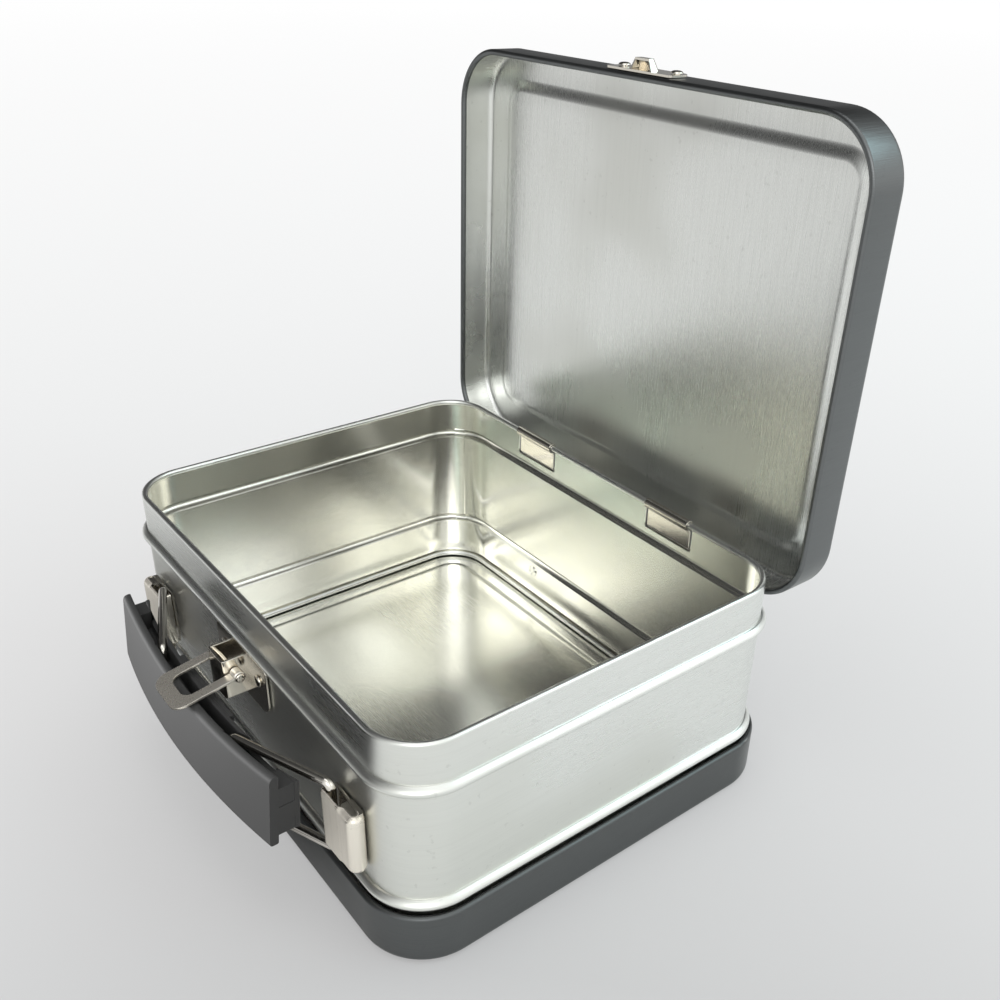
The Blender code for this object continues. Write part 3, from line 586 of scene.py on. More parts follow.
class LUNCHBOX_OT_pans(bpy.types.Operator):
    """Base pan and lid pan: rolled hems, skirts and pressed panels"""
    bl_idname = "lunch_box.pans"
    bl_label = "Pans"

    def execute(self, context):
        tin = settings().tin
        hem = PAN_HIGH.z - STAND
        base = pan_surface(hem, hem, -1).moved(placed)
        # the base pan's pewter is painted darker, and the lid's below is painted lighter
        finishes = [pan_inside(), pan_outside("pewter_pan", PAN_PAINTED_SHADE)]
        piece("bottom_pan_fine", [base], "tin", finishes, ["bottom_pan"])
        lid_hem = HINGE_HEIGHT - tin.curl
        lid = pan_surface(lid_hem, tin.lid_depth, 1).moved(lid_opened)
        finishes = [lid_inside(), pan_outside("pewter_lid", LID_PAINTED_LIGHT)]
        made = piece("lid_pan_fine", [lid], "lid", finishes, ["lid_pan"])
        notches = []
        for _, label in SIDES:
            low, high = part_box("hinge_strap_" + label)
            near = (low.x - NOTCH_GAP, HINGE_Y - NOTCH_REACH[0], lid_hem - NOTCH_BELOW)
            far = (high.x + NOTCH_GAP, HINGE_Y + NOTCH_REACH[1], lid_hem + NOTCH_HEIGHT)
            notches.append(block(near, far).moved(lid_opened))
        cut(made, notches)
        return {"FINISHED"}


# --- hinges ---------------------------------------------------------------------

def strap_line():
    """Over the rolled rim, down the wall, out through the window's foot and round the pin."""
    tin = settings().tin
    wall = PAN_HIGH.y - tin.inset
    curl = (wall - tin.curl, BAND_HIGH.z - STAND - tin.curl)
    hook = tin.curl + STRAP_HOOK
    plate = wall - tin.sheet / 2
    under, shoulder, neck, foot, window = STRAP_BENDS
    return path(arc(curl, hook, -15, 180, 20),
                (curl[0] - hook + STRAP_STEP, under), (plate - EASE, shoulder), (plate, neck),
                (plate, foot), (plate + STRAP_STEP, window), (HINGE_Y - STRAP_ROOT, HINGE_HEIGHT + tin.curl),
                arc((HINGE_Y, HINGE_HEIGHT), tin.curl, 80, -165, 24))


class LUNCHBOX_OT_hinges(bpy.types.Operator):
    """Hinge straps of the body and hinge pins of the lid"""
    bl_idname = "lunch_box.hinges"
    bl_label = "Hinges"

    def execute(self, context):
        for _, label in SIDES:
            strap = "hinge_strap_" + label
            low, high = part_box(strap)
            shape = drawn(both_sides(strap_line(), STRAP_SHEET), "X", low.x, high.x).moved(placed)
            bevel(piece(strap + "_fine", [shape], "tin", [nickel()], [strap]), STRAP_BEVEL)
            pin = "hinge_pin_" + label
            low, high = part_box(pin)
            radius = (high.y - low.y) / 2
            profile = path((HAIR, low.x), (radius * PIN_END, low.x), (radius, low.x + EASE),
                           (radius, high.x - EASE), (radius * PIN_END, high.x), (HAIR, high.x))
            shape = turned(profile, (0.0, HINGE_Y, HINGE_HEIGHT), "X").moved(placed)
            piece(pin + "_fine", [shape], "lid", [nickel()], [pin])
        return {"FINISHED"}


# --- rivets -----------------------------------------------------------------------

def rivet(x, height, face, inside):
    """A rivet through a wall: domed head in front of the face, shank and flattened tail inside."""
    under = face - RIVET_GAP
    angle = np.radians(np.linspace(6, 84, 12))
    radius = RIVET_HEAD * np.sin(angle) ** RIVET_ROUNDNESS
    head = np.stack([radius, under - RIVET_DOME * np.cos(angle)], axis=1)
    tail = inside + RIVET_GAP
    end = tail + RIVET_TAIL
    profile = path(head, (RIVET_HEAD, under), (RIVET_SHANK, under + RIVET_STEP), (RIVET_SHANK, tail),
                   (RIVET_HEAD - EASE, tail), (RIVET_HEAD, tail + EASE), (RIVET_HEAD - RIVET_FLARE, end),
                   (HAIR, end))
    return turned(profile, (x, 0.0, height), "Y")


class LUNCHBOX_OT_rivets(bpy.types.Operator):
    """Rivets of the latch, the handle brackets and the keeper"""
    bl_idname = "lunch_box.rivets"
    bl_label = "Rivets"

    def execute(self, context):
        tin = settings().tin
        wall = -PAN_HIGH.y + tin.inset
        for label, count, sheet in (("latch_rivet", 2, LATCH_SHEET), ("bracket_rivet", 4, BRACKET_SHEET)):
            for number in range(1, count + 1):
                name = "%s_%d" % (label, number)
                low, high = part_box(name)
                shape = rivet((low.x + high.x) / 2, (low.z + high.z) / 2 - STAND,
                              wall - PART_GAP - sheet, wall + tin.sheet)
                piece(name + "_fine", [shape.moved(placed)], "tin", [nickel()], [name])
        for number in (1, 2):
            name = "keeper_rivet_%d" % number
            low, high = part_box(name)
            shape = rivet((low.x + high.x) / 2, KEEPER_RIVET_HEIGHT,
                          -PAN_HIGH.y - PART_GAP - KEEPER_SHEET, -PAN_HIGH.y + tin.sheet)
            piece(name + "_fine", [shape.moved(lid_opened)], "lid", [nickel()], [name])
        return {"FINISHED"}


# --- latch ------------------------------------------------------------------------

def plate_outline(half, low, high, low_radius, high_radius):
    """A plate seen from the front, counter-clockwise from its upper right corner."""
    return path(arc((half - high_radius, high - high_radius), high_radius, 0, 90, 10),
                arc((-half + high_radius, high - high_radius), high_radius, 90, 180, 10),
                arc((-half + low_radius, low + low_radius), low_radius, 180, 270, 12),
                arc((half - low_radius, low + low_radius), low_radius, 270, 360, 12))


class LUNCHBOX_OT_latch(bpy.types.Operator):
    """Latch plate with its lug, the pivot pin and the loop"""
    bl_idname = "lunch_box.latch"
    bl_label = "Latch"

    def execute(self, context):
        low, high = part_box("latch_base")
        back = high.y
        outline = plate_outline(high.x, low.z - STAND, high.z - STAND, *LATCH_ROUNDS)
        plate = drawn(outline, "Y", back - LATCH_SHEET, back)
        half = LUG_HALF - LATCH_SHEET / 2
        front = low.y + LATCH_SHEET / 2
        fold = LUG_FOLD
        line = path((-half, back - LUG_ROOT), arc((-half + fold, front + fold), fold, 180, 270, 8),
                    arc((half - fold, front + fold), fold, 270, 360, 8), (half, back - LUG_ROOT))
        lug = drawn(both_sides(line, LATCH_SHEET), "Z", *LUG_HEIGHTS)
        shapes = [plate.moved(placed), lug.moved(placed)]
        bevel(piece("latch_base_fine", shapes, "tin", [nickel()], ["latch_base"]), LATCH_BEVEL)
        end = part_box("latch_pivot_pin")[1].x
        profile = np.array(PIVOT_HEAD) - [0.0, end]
        profile = path(profile, (profile * [1, -1])[::-1])
        pin = turned(profile, (0.0, *LATCH_PIVOT), "X").moved(placed)
        piece("latch_pivot_pin_fine", [pin], "tin", [nickel()], ["latch_pivot_pin"])
        piece("latch_loop_fine", loop_shapes(), "loop", [loop_nickel()], ["latch_loop"])
        return {"FINISHED"}


def stirrup(half, foot, radius, straight):
    """A U-shaped line: down one arm, round two corners at its foot and up the other arm."""
    bend = foot + radius
    return path((half, LOOP_ROOT), (half, bend + straight),
                arc((half - radius, bend), radius, 0, -90, 14),
                arc((-half + radius, bend), radius, 270, 180, 14),
                (-half, bend + straight), (-half, LOOP_ROOT))


def loop_shapes():
    """A flat loop: at each station a rounded bar from its outer outline to its inner outline."""
    half, arm, reach, lip = LOOP_SIZE
    inner = half - arm
    bar = -reach + lip
    outer_line = stirrup(half, -reach, LOOP_ROUNDS[0], LOOP_STRAIGHTS[0])
    inner_line = stirrup(inner, bar, LOOP_ROUNDS[1], LOOP_STRAIGHTS[1])
    across = inner_line - outer_line
    width = np.linalg.norm(across, axis=1)
    unit = across / width[:, None]
    turn = np.radians(np.linspace(0, 360, 24, endpoint=False))
    thick = LOOP_SHEET / 2
    bulge = np.sign(np.cos(turn)) * np.abs(np.cos(turn)) ** 0.5
    crown = thick * np.sign(np.sin(turn)) * np.abs(np.sin(turn)) ** 0.45
    middle = (outer_line + inner_line) / 2
    offset = (width[:, None] / 2 - thick) * np.sign(bulge)[None] * np.minimum(1, np.abs(bulge) * 1.25)[None]
    offset = offset + thick * bulge[None]
    flat = middle[:, None] + unit[:, None] * offset[..., None]
    lift = np.broadcast_to(crown[None, :, None], flat.shape[:2] + (1,))
    bow = LOOP_BOW * np.clip((bar - flat[..., 1:2]) / lip, 0, 1) ** 2
    surfaces = [Surface(np.concatenate([flat, lift - bow], axis=2), close_columns=True, caps=True)]
    for side in (-1, 1):
        centre = side * (half - arm / 2)
        wide = arm / 2 + HAIR
        bore, shoulder, rim = EYE_RADII
        ring = path((bore, -wide), (shoulder, -wide), (rim, -wide + EYE_EASE), (rim, wide - EYE_EASE),
                    (shoulder, wide), (bore, wide))
        grid = turned(ring, (centre, 0.0, 0.0), "X").points.reshape(len(ring), -1, 3)
        surfaces.append(Surface(grid, close_rows=True, close_columns=True))
    for surface in surfaces:
        surface.moved(loop_drooped)
    return surfaces


def loop_drooped(points):
    """Points of a level loop about its pivot, drooped onto the grip and placed."""
    y = points[:, 1] * math.cos(LOOP_DROOP) - points[:, 2] * math.sin(LOOP_DROOP)
    z = points[:, 1] * math.sin(LOOP_DROOP) + points[:, 2] * math.cos(LOOP_DROOP)
    return placed(np.stack([points[:, 0], y + LATCH_PIVOT[0], z + LATCH_PIVOT[1]], axis=1))


class LUNCHBOX_OT_keeper(bpy.types.Operator):
    """Keeper plate with its tapered hood, open below"""
    bl_idname = "lunch_box.keeper"
    bl_label = "Keeper"

    def execute(self, context):
        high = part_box("keeper")[1]
        back = -PAN_HIGH.y - PART_GAP
        outline = plate_outline(high.x, *KEEPER_HEIGHTS, *KEEPER_ROUNDS)
        plate = drawn(outline, "Y", back - KEEPER_SHEET, back)
        rings = []
        for share in np.linspace(0, 1, 6):
            half, foot, top = HOOD_ROOT + (HOOD_NOSE - HOOD_ROOT) * share
            bend = top - HOOD_ROUND
            line = path((-half, foot), (-half, bend), arc((-half + HOOD_ROUND, bend), HOOD_ROUND, 180, 90, 6),
                        arc((half - HOOD_ROUND, bend), HOOD_ROUND, 90, 0, 6), (half, bend), (half, foot))
            section = both_sides(line, KEEPER_SHEET)
            y = back - KEEPER_SHEET / 2 + (HOOD_FRONT + KEEPER_SHEET / 2 - back) * share
            rings.append(np.column_stack([section[:, 0], np.full(len(section), y), section[:, 1]]))
        hood = Surface(np.array(rings), close_columns=True, caps=True)
        half, foot, top = HOOD_NOSE + np.array([1, -1, 1]) * KEEPER_SHEET * HOOD_FILL
        corners = [(-half, foot), (half, foot), (half, top), (-half, top)]
        nose = rounded(corners, [EASE, EASE, HOOD_ROUND, HOOD_ROUND])
        front = drawn(nose, "Y", HOOD_FRONT, HOOD_FRONT + KEEPER_SHEET)
        shapes = [shape.moved(lid_opened) for shape in (plate, hood, front)]
        bevel(piece("keeper_fine", shapes, "lid", [nickel()], ["keeper"]), KEEPER_BEVEL)
        return {"FINISHED"}


# --- handle -------------------------------------------------------------------------

def ring_line(side):
    """A ring in its own upright plane, from the upper tip round to the lower tip, then placed in plan."""
    start = np.array([side * RING_END[0], RING_END[1]])
    run = np.array([side * RING_RUN[0], RING_RUN[1]]) - start
    length = np.linalg.norm(run)
    bend = WIRE_BEND
    upper, lower = RING_LEGS
    line = path((0.0, RING_TIPS[0]), arc((bend, upper - bend), bend, 180, 90, 14),
                arc((length - bend, upper - bend), bend, 90, 0, 14),
                arc((length - bend, lower + bend), bend, 0, -90, 14),
                arc((bend, lower + bend), bend, 270, 180, 14), (0.0, RING_TIPS[1]))
    unit = run / length
    plan = start + line[:, :1] * unit
    return np.column_stack([plan, line[:, 1]]), (-unit[1], unit[0], 0.0)


def bracket_shapes(side):
    """A bracket: one strap whose upper and lower edges turn in, further where caps close its outer end.

    At each station of the plan line the upright section is offset along the line's inward normal.
    """
    inner, outer, foot, top = BRACKET_BOX
    base = BRACKET_BASE_Y
    fold = (base - BRACKET_FRONT_Y) / 2
    lip = BRACKET_LIP
    left = inner + BRACKET_SHEET / 2
    right = outer - BRACKET_SHEET / 2 - fold
    front = np.stack([np.linspace(right, left + lip, 24), np.full(24, BRACKET_FRONT_Y)], axis=1)[1:-1]
    line = path((left + lip / 2, base), (right - 0.001, base), arc((right, base - fold), fold, 90, -90, 28),
                front, arc((left + lip, BRACKET_FRONT_Y + lip), lip, 270, 180, 10),
                (left, base - BRACKET_SHEET - PART_GAP))
    inward = -normals(line)
    share = np.clip((line[:, 0] - (outer - BRACKET_POCKET)) / BRACKET_BLEND, 0, 1)
    share = share ** 2 * (3 - 2 * share)
    radius = BRACKET_TIGHT + (BRACKET_EDGE - BRACKET_TIGHT) * share
    turn = np.radians(np.linspace(90, 0, 8))
    wall = BRACKET_SHEET / 2
    in_turn = radius[:, None] * (1 - np.cos(turn))
    up_turn = radius[:, None] * (1 - np.sin(turn))
    turned_in = (radius + HAIR)[:, None]
    inset = np.concatenate([turned_in, in_turn, in_turn[:, ::-1], turned_in], axis=1)
    level = np.concatenate([0 * turned_in, up_turn], axis=1)
    level = np.concatenate([foot + wall + level, (top - wall - level)[:, ::-1]], axis=1)
    sections = np.stack([inset, level], axis=2)
    along = np.gradient(sections, axis=1)
    along /= np.linalg.norm(along, axis=2, keepdims=True)
    out = np.stack([-along[..., 1], along[..., 0]], axis=2) * wall
    sections = np.concatenate([sections + out, (sections - out)[:, ::-1]], axis=1)
    plan = line[:, None] + inward[:, None] * sections[..., :1]
    grid = np.concatenate([plan * [side, 1], sections[..., 1:]], axis=2)
    shapes = [Surface(grid, close_columns=True, caps=True)]
    near = base + wall - EASE
    far = BRACKET_FRONT_Y - wall + BRACKET_EDGE
    start = outer - BRACKET_POCKET
    end = outer - BRACKET_EDGE
    corners = [(start, near), (start, far), (end, far), (end, near)]
    cap = rounded(corners, BRACKET_CAP_ROUNDS, 10) * [side, 1]
    shapes.append(drawn(cap, "Z", top - BRACKET_SHEET - HAIR, top - HAIR))
    shapes.append(drawn(cap, "Z", foot + HAIR, foot + BRACKET_SHEET + HAIR))
    return [shape.moved(placed) for shape in shapes]


class LUNCHBOX_OT_carrier(bpy.types.Operator):
    """Handle brackets and the wire rings that slide in them"""
    bl_idname = "lunch_box.carrier"
    bl_label = "Brackets and Rings"

    def execute(self, context):
        for side, label in SIDES:
            bracket = "handle_bracket_" + label
            piece(bracket + "_fine", bracket_shapes(side), "tin", [satin_nickel()], [bracket])
            line, across = ring_line(side)
            ring = "wire_ring_" + label
            shape = tube(line, WIRE_RADIUS, across).moved(placed)
            piece(ring + "_fine", [shape], "ring_" + label, [wire()], [ring])
        return {"FINISHED"}


def bow(ends, x):
    """A value that bows along the grip: the first at its middle, the second at its ends."""
    return ends[0] + (ends[1] - ends[0]) * (x / GRIP_HALF) ** 2


def lean(low, high, height):
    """Depth at a height on the straight line between two (depth, height) points."""
    return low[0] + (high[0] - low[0]) * (height - low[1]) / (high[1] - low[1])


def outer_face(x, height, depth=0.0):
    """A (depth, height) point on the grip's leaning outer face, or behind it."""
    low = (bow(GRIP_FACE_BOTTOM, x), GRIP_BOTTOM)
    high = (bow(GRIP_FACE_TOP, x), bow(GRIP_TOP, x))
    return np.stack(np.broadcast_arrays(lean(low, high, height) + depth, height), axis=-1)


def inner_face(x, height, depth=0.0):
    """A (depth, height) point on the grip's leaning inner face, or in front of it."""
    low = (bow(GRIP_INNER_BOTTOM, x), GRIP_WALL[0])
    high = (bow(GRIP_INNER_TOP, x), GRIP_WALL[1])
    return np.stack(np.broadcast_arrays(lean(low, high, height) - depth, height), axis=-1)


def bar(x, outline):
    """Outlines (stations, points, 2) in depth and height, set at the stations along the grip."""
    along = np.broadcast_to(x[:, None, None], outline.shape[:2] + (1,))
    return Surface(np.concatenate([along, outline], axis=2), close_columns=True, caps=True).moved(placed)


def grip_shape():
    """The grip: leaning plate with a round upper edge, inner wall and the web between them."""
    x = np.linspace(-GRIP_HALF, GRIP_HALF, 81)
    wall_top = np.full_like(x, GRIP_WALL[1])
    top = bow(GRIP_TOP, x)
    low = np.full_like(x, GRIP_BOTTOM)
    wall_low = np.full_like(x, GRIP_WALL[0])
    web_low = np.full_like(x, GRIP_WEB[0])
    web_top = np.full_like(x, GRIP_WEB[1])
    plate, wall = GRIP_PLATE_SHEET, GRIP_WALL_SHEET
    corners = np.stack([
        outer_face(x, low), outer_face(x, top), outer_face(x, top, plate), outer_face(x, web_top, plate),
        inner_face(x, web_top, wall), inner_face(x, wall_top, wall), inner_face(x, wall_top),
        inner_face(x, wall_low), inner_face(x, wall_low, wall), inner_face(x, web_low, wall),
        outer_face(x, web_low, plate), outer_face(x, low, plate)], axis=1)
    return bar(x, rounded(corners, GRIP_ROUNDS, 7))


def bar_between(ends, front, back, radius):
    """A bar along the grip, as high as its inner wall, between two faces given with their depths."""
    x = np.linspace(*ends, 9)
    low = np.full_like(x, GRIP_WALL[0] + GRIP_HIDE)
    high = np.full_like(x, GRIP_WALL[1] - GRIP_HIDE)
    near, near_depth = front
    far, far_depth = back
    corners = np.stack([near(x, low, near_depth), near(x, high, near_depth),
                        far(x, high, far_depth), far(x, low, far_depth)], axis=1)
    return bar(x, rounded(corners, radius, 6))


def leg_slot(side):
    """The slot for a ring's upper leg, wider at its far end for the ring's turn."""
    near = np.array(RING_END)
    along = np.array(RING_RUN) - near
    along /= np.linalg.norm(along)
    across = np.array([-along[1], along[0]])
    far = near + along * LEG_SLOT_LENGTH
    near = near - along * LEG_SLOT_HALF / 2
    plan = np.array([near + across * LEG_SLOT_HALF, near - across * LEG_SLOT_HALF,
                     far - across * (LEG_SLOT_HALF + LEG_SLOT_TURN), far + across * LEG_SLOT_HALF])
    return drawn(plan * [side, 1], "Z", *LEG_SLOT).moved(placed)


class LUNCHBOX_OT_grip(bpy.types.Operator):
    """Moulded grip with its solid ends and raised middle"""
    bl_idname = "lunch_box.grip"
    bl_label = "Grip"

    def execute(self, context):
        shapes = {"handle_grip_fine": grip_shape()}
        for side, label in SIDES:
            ends = sorted((side * GRIP_SOLID, side * (GRIP_HALF - GRIP_HIDE)))
            shapes["grip_end_" + label] = bar_between(
                ends, (outer_face, GRIP_END_DEPTH), (inner_face, GRIP_HIDE), GRIP_END_ROUND)
        shapes["grip_middle"] = bar_between(
            (-GRIP_BOSS_HALF, GRIP_BOSS_HALF), (inner_face, GRIP_BOSS_ROOT), (inner_face, -GRIP_BOSS),
            GRIP_BOSS_ROUND)
        for name, shape in shapes.items():
            nodes = ["handle_grip"] if name == "handle_grip_fine" else []
            made = piece(name, [shape], "grip", [plastic()], nodes)
            if name != "grip_middle":
                cut(made, [leg_slot(side) for side in (-1, 1)])
            bevel(made, GRIP_BEVEL, 4)
        return {"FINISHED"}


# --- materials ----------------------------------------------------------------------

def add(tree, kind, values=None, **options):
    """A shader node with its options set, and each value either linked from a socket or stored."""
    made = tree.nodes.new(kind)
    for key, value in options.items():
        setattr(made, key, value)
    for key, value in (values or {}).items():
        socket = made.inputs[key]
        if isinstance(value, bpy.types.NodeSocket):
            tree.links.new(value, socket)
        else:
            socket.default_value = value
    return made


def maths(tree, operation, first, second=0.5, clamp=False):
    values = {0: first, 1: second}
    return add(tree, "ShaderNodeMath", values, operation=operation, use_clamp=clamp).outputs[0]


def spread(tree, value, low, high, to_low=0.0, to_high=1.0):
    """A value between low and high spread smoothly over another range."""
    values = {"Value": value, "From Min": low, "From Max": high, "To Min": to_low, "To Max": to_high}
    return add(tree, "ShaderNodeMapRange", values, interpolation_type="SMOOTHSTEP").outputs["Result"]


def noise(tree, vector, scale, detail=3.0, rough=0.55):
    values = {"Vector": vector, "Scale": scale, "Detail": detail, "Roughness": rough}
    return add(tree, "ShaderNodeTexNoise", values).outputs["Fac"]


def mixed(tree, share, first, second):
    made = add(tree, "ShaderNodeMix", data_type="RGBA")
    for socket, value in zip((made.inputs[0], made.inputs[6], made.inputs[7]), (share, first, second)):
        if isinstance(value, bpy.types.NodeSocket):
            tree.links.new(value, socket)
        else:
            socket.default_value = value
    return made.outputs[2]


def colour(values, factor=1.0):
    return tuple(value * factor for value in values) + (1.0,)


def new_group(name, inputs, outputs):
    tree = bpy.data.node_groups.new(name, "ShaderNodeTree")
    for label, kind in inputs:
        tree.interface.new_socket(label, in_out="INPUT", socket_type=kind)
    for label, kind in outputs:
        tree.interface.new_socket(label, in_out="OUTPUT", socket_type=kind)
    return tree, tree.nodes.new("NodeGroupInput"), tree.nodes.new("NodeGroupOutput")


def brushed_group():
    """Brush grain: noise drawn out across one axis, fine and coarse, as a streak value from 0 to 1."""
    if "Brush Grain" in bpy.data.node_groups:
        return bpy.data.node_groups["Brush Grain"]
    inputs = [("Vector", "NodeSocketVector"), ("Stretch", "NodeSocketVector")]
    outputs = [("Streak", "NodeSocketFloat"), ("Band", "NodeSocketFloat")]
    tree, given, made = new_group("Brush Grain", inputs, outputs)
    drawn_out = add(tree, "ShaderNodeVectorMath", {0: given.outputs["Vector"], 1: given.outputs["Stretch"]},
                    operation="MULTIPLY").outputs[0]
    fine = noise(tree, drawn_out, 9.0, 2.0, 0.6)
    coarse = noise(tree, drawn_out, 1.6, 3.0, 0.5)
    tree.links.new(spread(tree, fine, 0.25, 0.75), made.inputs["Streak"])
    tree.links.new(spread(tree, coarse, 0.30, 0.70), made.inputs["Band"])
    return tree


def smudge_group():
    """Handling marks: soft clouds and small specks, each as a mask from 0 to 1."""
    if "Smudge" in bpy.data.node_groups:
        return bpy.data.node_groups["Smudge"]
    tree, given, made = new_group("Smudge", [("Vector", "NodeSocketVector")],
                                  [("Cloud", "NodeSocketFloat"), ("Speck", "NodeSocketFloat")])
    cloud = noise(tree, given.outputs["Vector"], 16.0, 1.0, 0.4)
    speck = noise(tree, given.outputs["Vector"], 420.0, 2.0, 0.5)
    tree.links.new(spread(tree, cloud, 0.42, 0.68), made.inputs["Cloud"])
    tree.links.new(spread(tree, speck, 0.66, 0.74), made.inputs["Speck"])
    return tree


def wear_group():
    """Edge wear: convex edges broken up by noise, as a mask from 0 to 1."""
    if "Edge Wear" in bpy.data.node_groups:
        return bpy.data.node_groups["Edge Wear"]
    inputs = [("Vector", "NodeSocketVector")]
    tree, given, made = new_group("Edge Wear", inputs, [("Wear", "NodeSocketFloat")])
    edge = spread(tree, add(tree, "ShaderNodeNewGeometry").outputs["Pointiness"], 0.52, 0.60)
    broken = spread(tree, noise(tree, given.outputs["Vector"], 160.0, 4.0, 0.6), 0.40, 0.62)
    tree.links.new(maths(tree, "MULTIPLY", edge, broken, True), made.inputs["Wear"])
    return tree


def metal(name, base, aged, roughness, stretch, grain, waves=0.0, streak_depth=0.12):
    """Sheet metal: base colour aged in clouds and streaks, brushed grain and slow waves in its relief."""
    if name in bpy.data.materials:
        return bpy.data.materials[name]
    made = bpy.data.materials.new(name)
    made.use_nodes = True
    tree = made.node_tree
    shader = tree.nodes["Principled BSDF"]
    place = add(tree, "ShaderNodeTexCoord").outputs["Object"]
    brush = add(tree, "ShaderNodeGroup", node_tree=brushed_group())
    tree.links.new(place, brush.inputs["Vector"])
    brush.inputs["Stretch"].default_value = stretch
    smudge = add(tree, "ShaderNodeGroup", node_tree=smudge_group())
    tree.links.new(place, smudge.inputs["Vector"])
    wear = add(tree, "ShaderNodeGroup", node_tree=wear_group())
    tree.links.new(place, wear.inputs["Vector"])
    cloud, speck = smudge.outputs["Cloud"], smudge.outputs["Speck"]
    streak, band = brush.outputs["Streak"], brush.outputs["Band"]
    tone = mixed(tree, maths(tree, "MULTIPLY", cloud, 0.25), colour(base), colour(aged))
    tone = mixed(tree, maths(tree, "MULTIPLY", maths(tree, "MULTIPLY", streak, band), streak_depth), tone,
                 colour(aged, 0.45))
    tone = mixed(tree, maths(tree, "MULTIPLY", speck, 0.12), tone, colour(aged, 0.35))
    tone = mixed(tree, maths(tree, "MULTIPLY", wear.outputs["Wear"], 0.5), tone, (0.80, 0.80, 0.78, 1.0))
    tree.links.new(tone, shader.inputs["Base Color"])
    gloss = maths(tree, "ADD", spread(tree, cloud, 0.0, 1.0, roughness - 0.02, roughness + 0.04),
                  maths(tree, "MULTIPLY", streak, 0.05))
    tree.links.new(gloss, shader.inputs["Roughness"])
    shader.inputs["Metallic"].default_value = 1.0
    wave = maths(tree, "MULTIPLY", noise(tree, place, 14.0, 1.0, 0.4), waves)
    height = maths(tree, "ADD", maths(tree, "MULTIPLY", streak, grain), wave)
    relief = add(tree, "ShaderNodeBump", {"Height": height, "Strength": 0.6, "Distance": 0.001})
    tree.links.new(relief.outputs["Normal"], shader.inputs["Normal"])
    return made


ROUND_STREAKS = (9.0, 9.0, 420.0)
UPRIGHT_STREAKS = (420.0, 9.0, 9.0)
SHORT_STREAKS = (60.0, 60.0, 60.0)
PANEL_STREAKS = (9.0, 300.0, 9.0)


def tin_outside():
    finish = settings().finish
    return metal("tinplate_outside", finish.bright, finish.aged, 0.26, ROUND_STREAKS, 0.02, 0.25, 0.06)


def tin_inside():
    finish = settings().finish
    return metal("tinplate_inside", finish.lining, finish.aged, 0.15, ROUND_STREAKS, 0.008, 0.35, 0.05)


def pan_inside():
    finish = settings().finish
    return metal("tinplate_base_inside", finish.lining, finish.aged, 0.20, PANEL_STREAKS, 0.008, 0.35, 0.05)


def lid_inside():
    finish = settings().finish
    return metal("tinplate_lid_inside", finish.bright, finish.aged, 0.26, UPRIGHT_STREAKS, 0.018, 0.3, 0.05)


def pan_outside(name, share):
    """Pewter coat with its colour scaled by a share, which is larger on the lid than on the base pan: lit and
    shaded copies of one coat, painted light on the lid and painted shade on the base pan.
    """
    base = [value * share for value in settings().finish.pewter]
    return metal(name, base, [value * 1.3 for value in base], 0.32, ROUND_STREAKS, 0.03, 0.3)


def nickel():
    finish = settings().finish
    aged = [value * 0.7 for value in finish.nickel]
    return metal("nickel", finish.nickel, aged, 0.13, SHORT_STREAKS, 0.02, 0.15)


def satin_nickel():
    """Nickel scuffed dull, which scatters part of its light."""
    finish = settings().finish
    base = [value * 1.35 for value in finish.nickel]
    made = metal("satin_nickel", base, finish.nickel, 0.30, UPRIGHT_STREAKS, 0.02)
    tree = made.node_tree
    shader = tree.nodes["Principled BSDF"]
    bend = add(tree, "ShaderNodeNewGeometry").outputs["Pointiness"]
    tree.links.new(spread(tree, bend, 0.505, 0.54, 0.50, 1.0), shader.inputs["Metallic"])
    tree.links.new(spread(tree, bend, 0.505, 0.54, 0.42, 0.10), shader.inputs["Roughness"])
    return made


def loop_nickel():
    finish = settings().finish
    base = [value * 1.25 for value in finish.nickel]
    made = metal("loop_nickel", base, finish.nickel, 0.26, SHORT_STREAKS, 0.02, 0.1)
    made.node_tree.nodes["Principled BSDF"].inputs["Metallic"].default_value = 0.85
    return made


def wire():
    finish = settings().finish
    return metal("wire", finish.nickel, [value * 0.7 for value in finish.nickel], 0.18, SHORT_STREAKS, 0.02)


DUSTY_PLASTIC = (0.005, 0.005, 0.0052, 1.0)
RUBBED_PLASTIC = (0.05, 0.05, 0.05, 1.0)


def plastic():
    """Moulded plastic: near black with fine grain, dusty clouds and paler rubbed edges."""
    if "black_plastic" in bpy.data.materials:
        return bpy.data.materials["black_plastic"]
    made = bpy.data.materials.new("black_plastic")
    made.use_nodes = True
    tree = made.node_tree
    shader = tree.nodes["Principled BSDF"]
    shader.inputs["Specular IOR Level"].default_value = 0.05
    place = add(tree, "ShaderNodeTexCoord").outputs["Object"]
    smudge = add(tree, "ShaderNodeGroup", node_tree=smudge_group())
    tree.links.new(place, smudge.inputs["Vector"])
    wear = add(tree, "ShaderNodeGroup", node_tree=wear_group())
    tree.links.new(place, wear.inputs["Vector"])
    base = colour(settings().finish.plastic)
    cloud = maths(tree, "MULTIPLY", smudge.outputs["Cloud"], 0.5)
    tone = mixed(tree, cloud, base, DUSTY_PLASTIC)
    rubbed = maths(tree, "MULTIPLY", wear.outputs["Wear"], 0.15)
    tone = mixed(tree, rubbed, tone, RUBBED_PLASTIC)
    tree.links.new(tone, shader.inputs["Base Color"])
    tree.links.new(spread(tree, smudge.outputs["Cloud"], 0.0, 1.0, 0.30, 0.42), shader.inputs["Roughness"])
    grain = maths(tree, "MULTIPLY", noise(tree, place, 1400.0, 2.0, 0.5), 0.02)
    relief = add(tree, "ShaderNodeBump", {"Height": grain, "Strength": 0.5, "Distance": 0.001})
    tree.links.new(relief.outputs["Normal"], shader.inputs["Normal"])
    return made


# --- stage ----------------------------------------------------------------------------

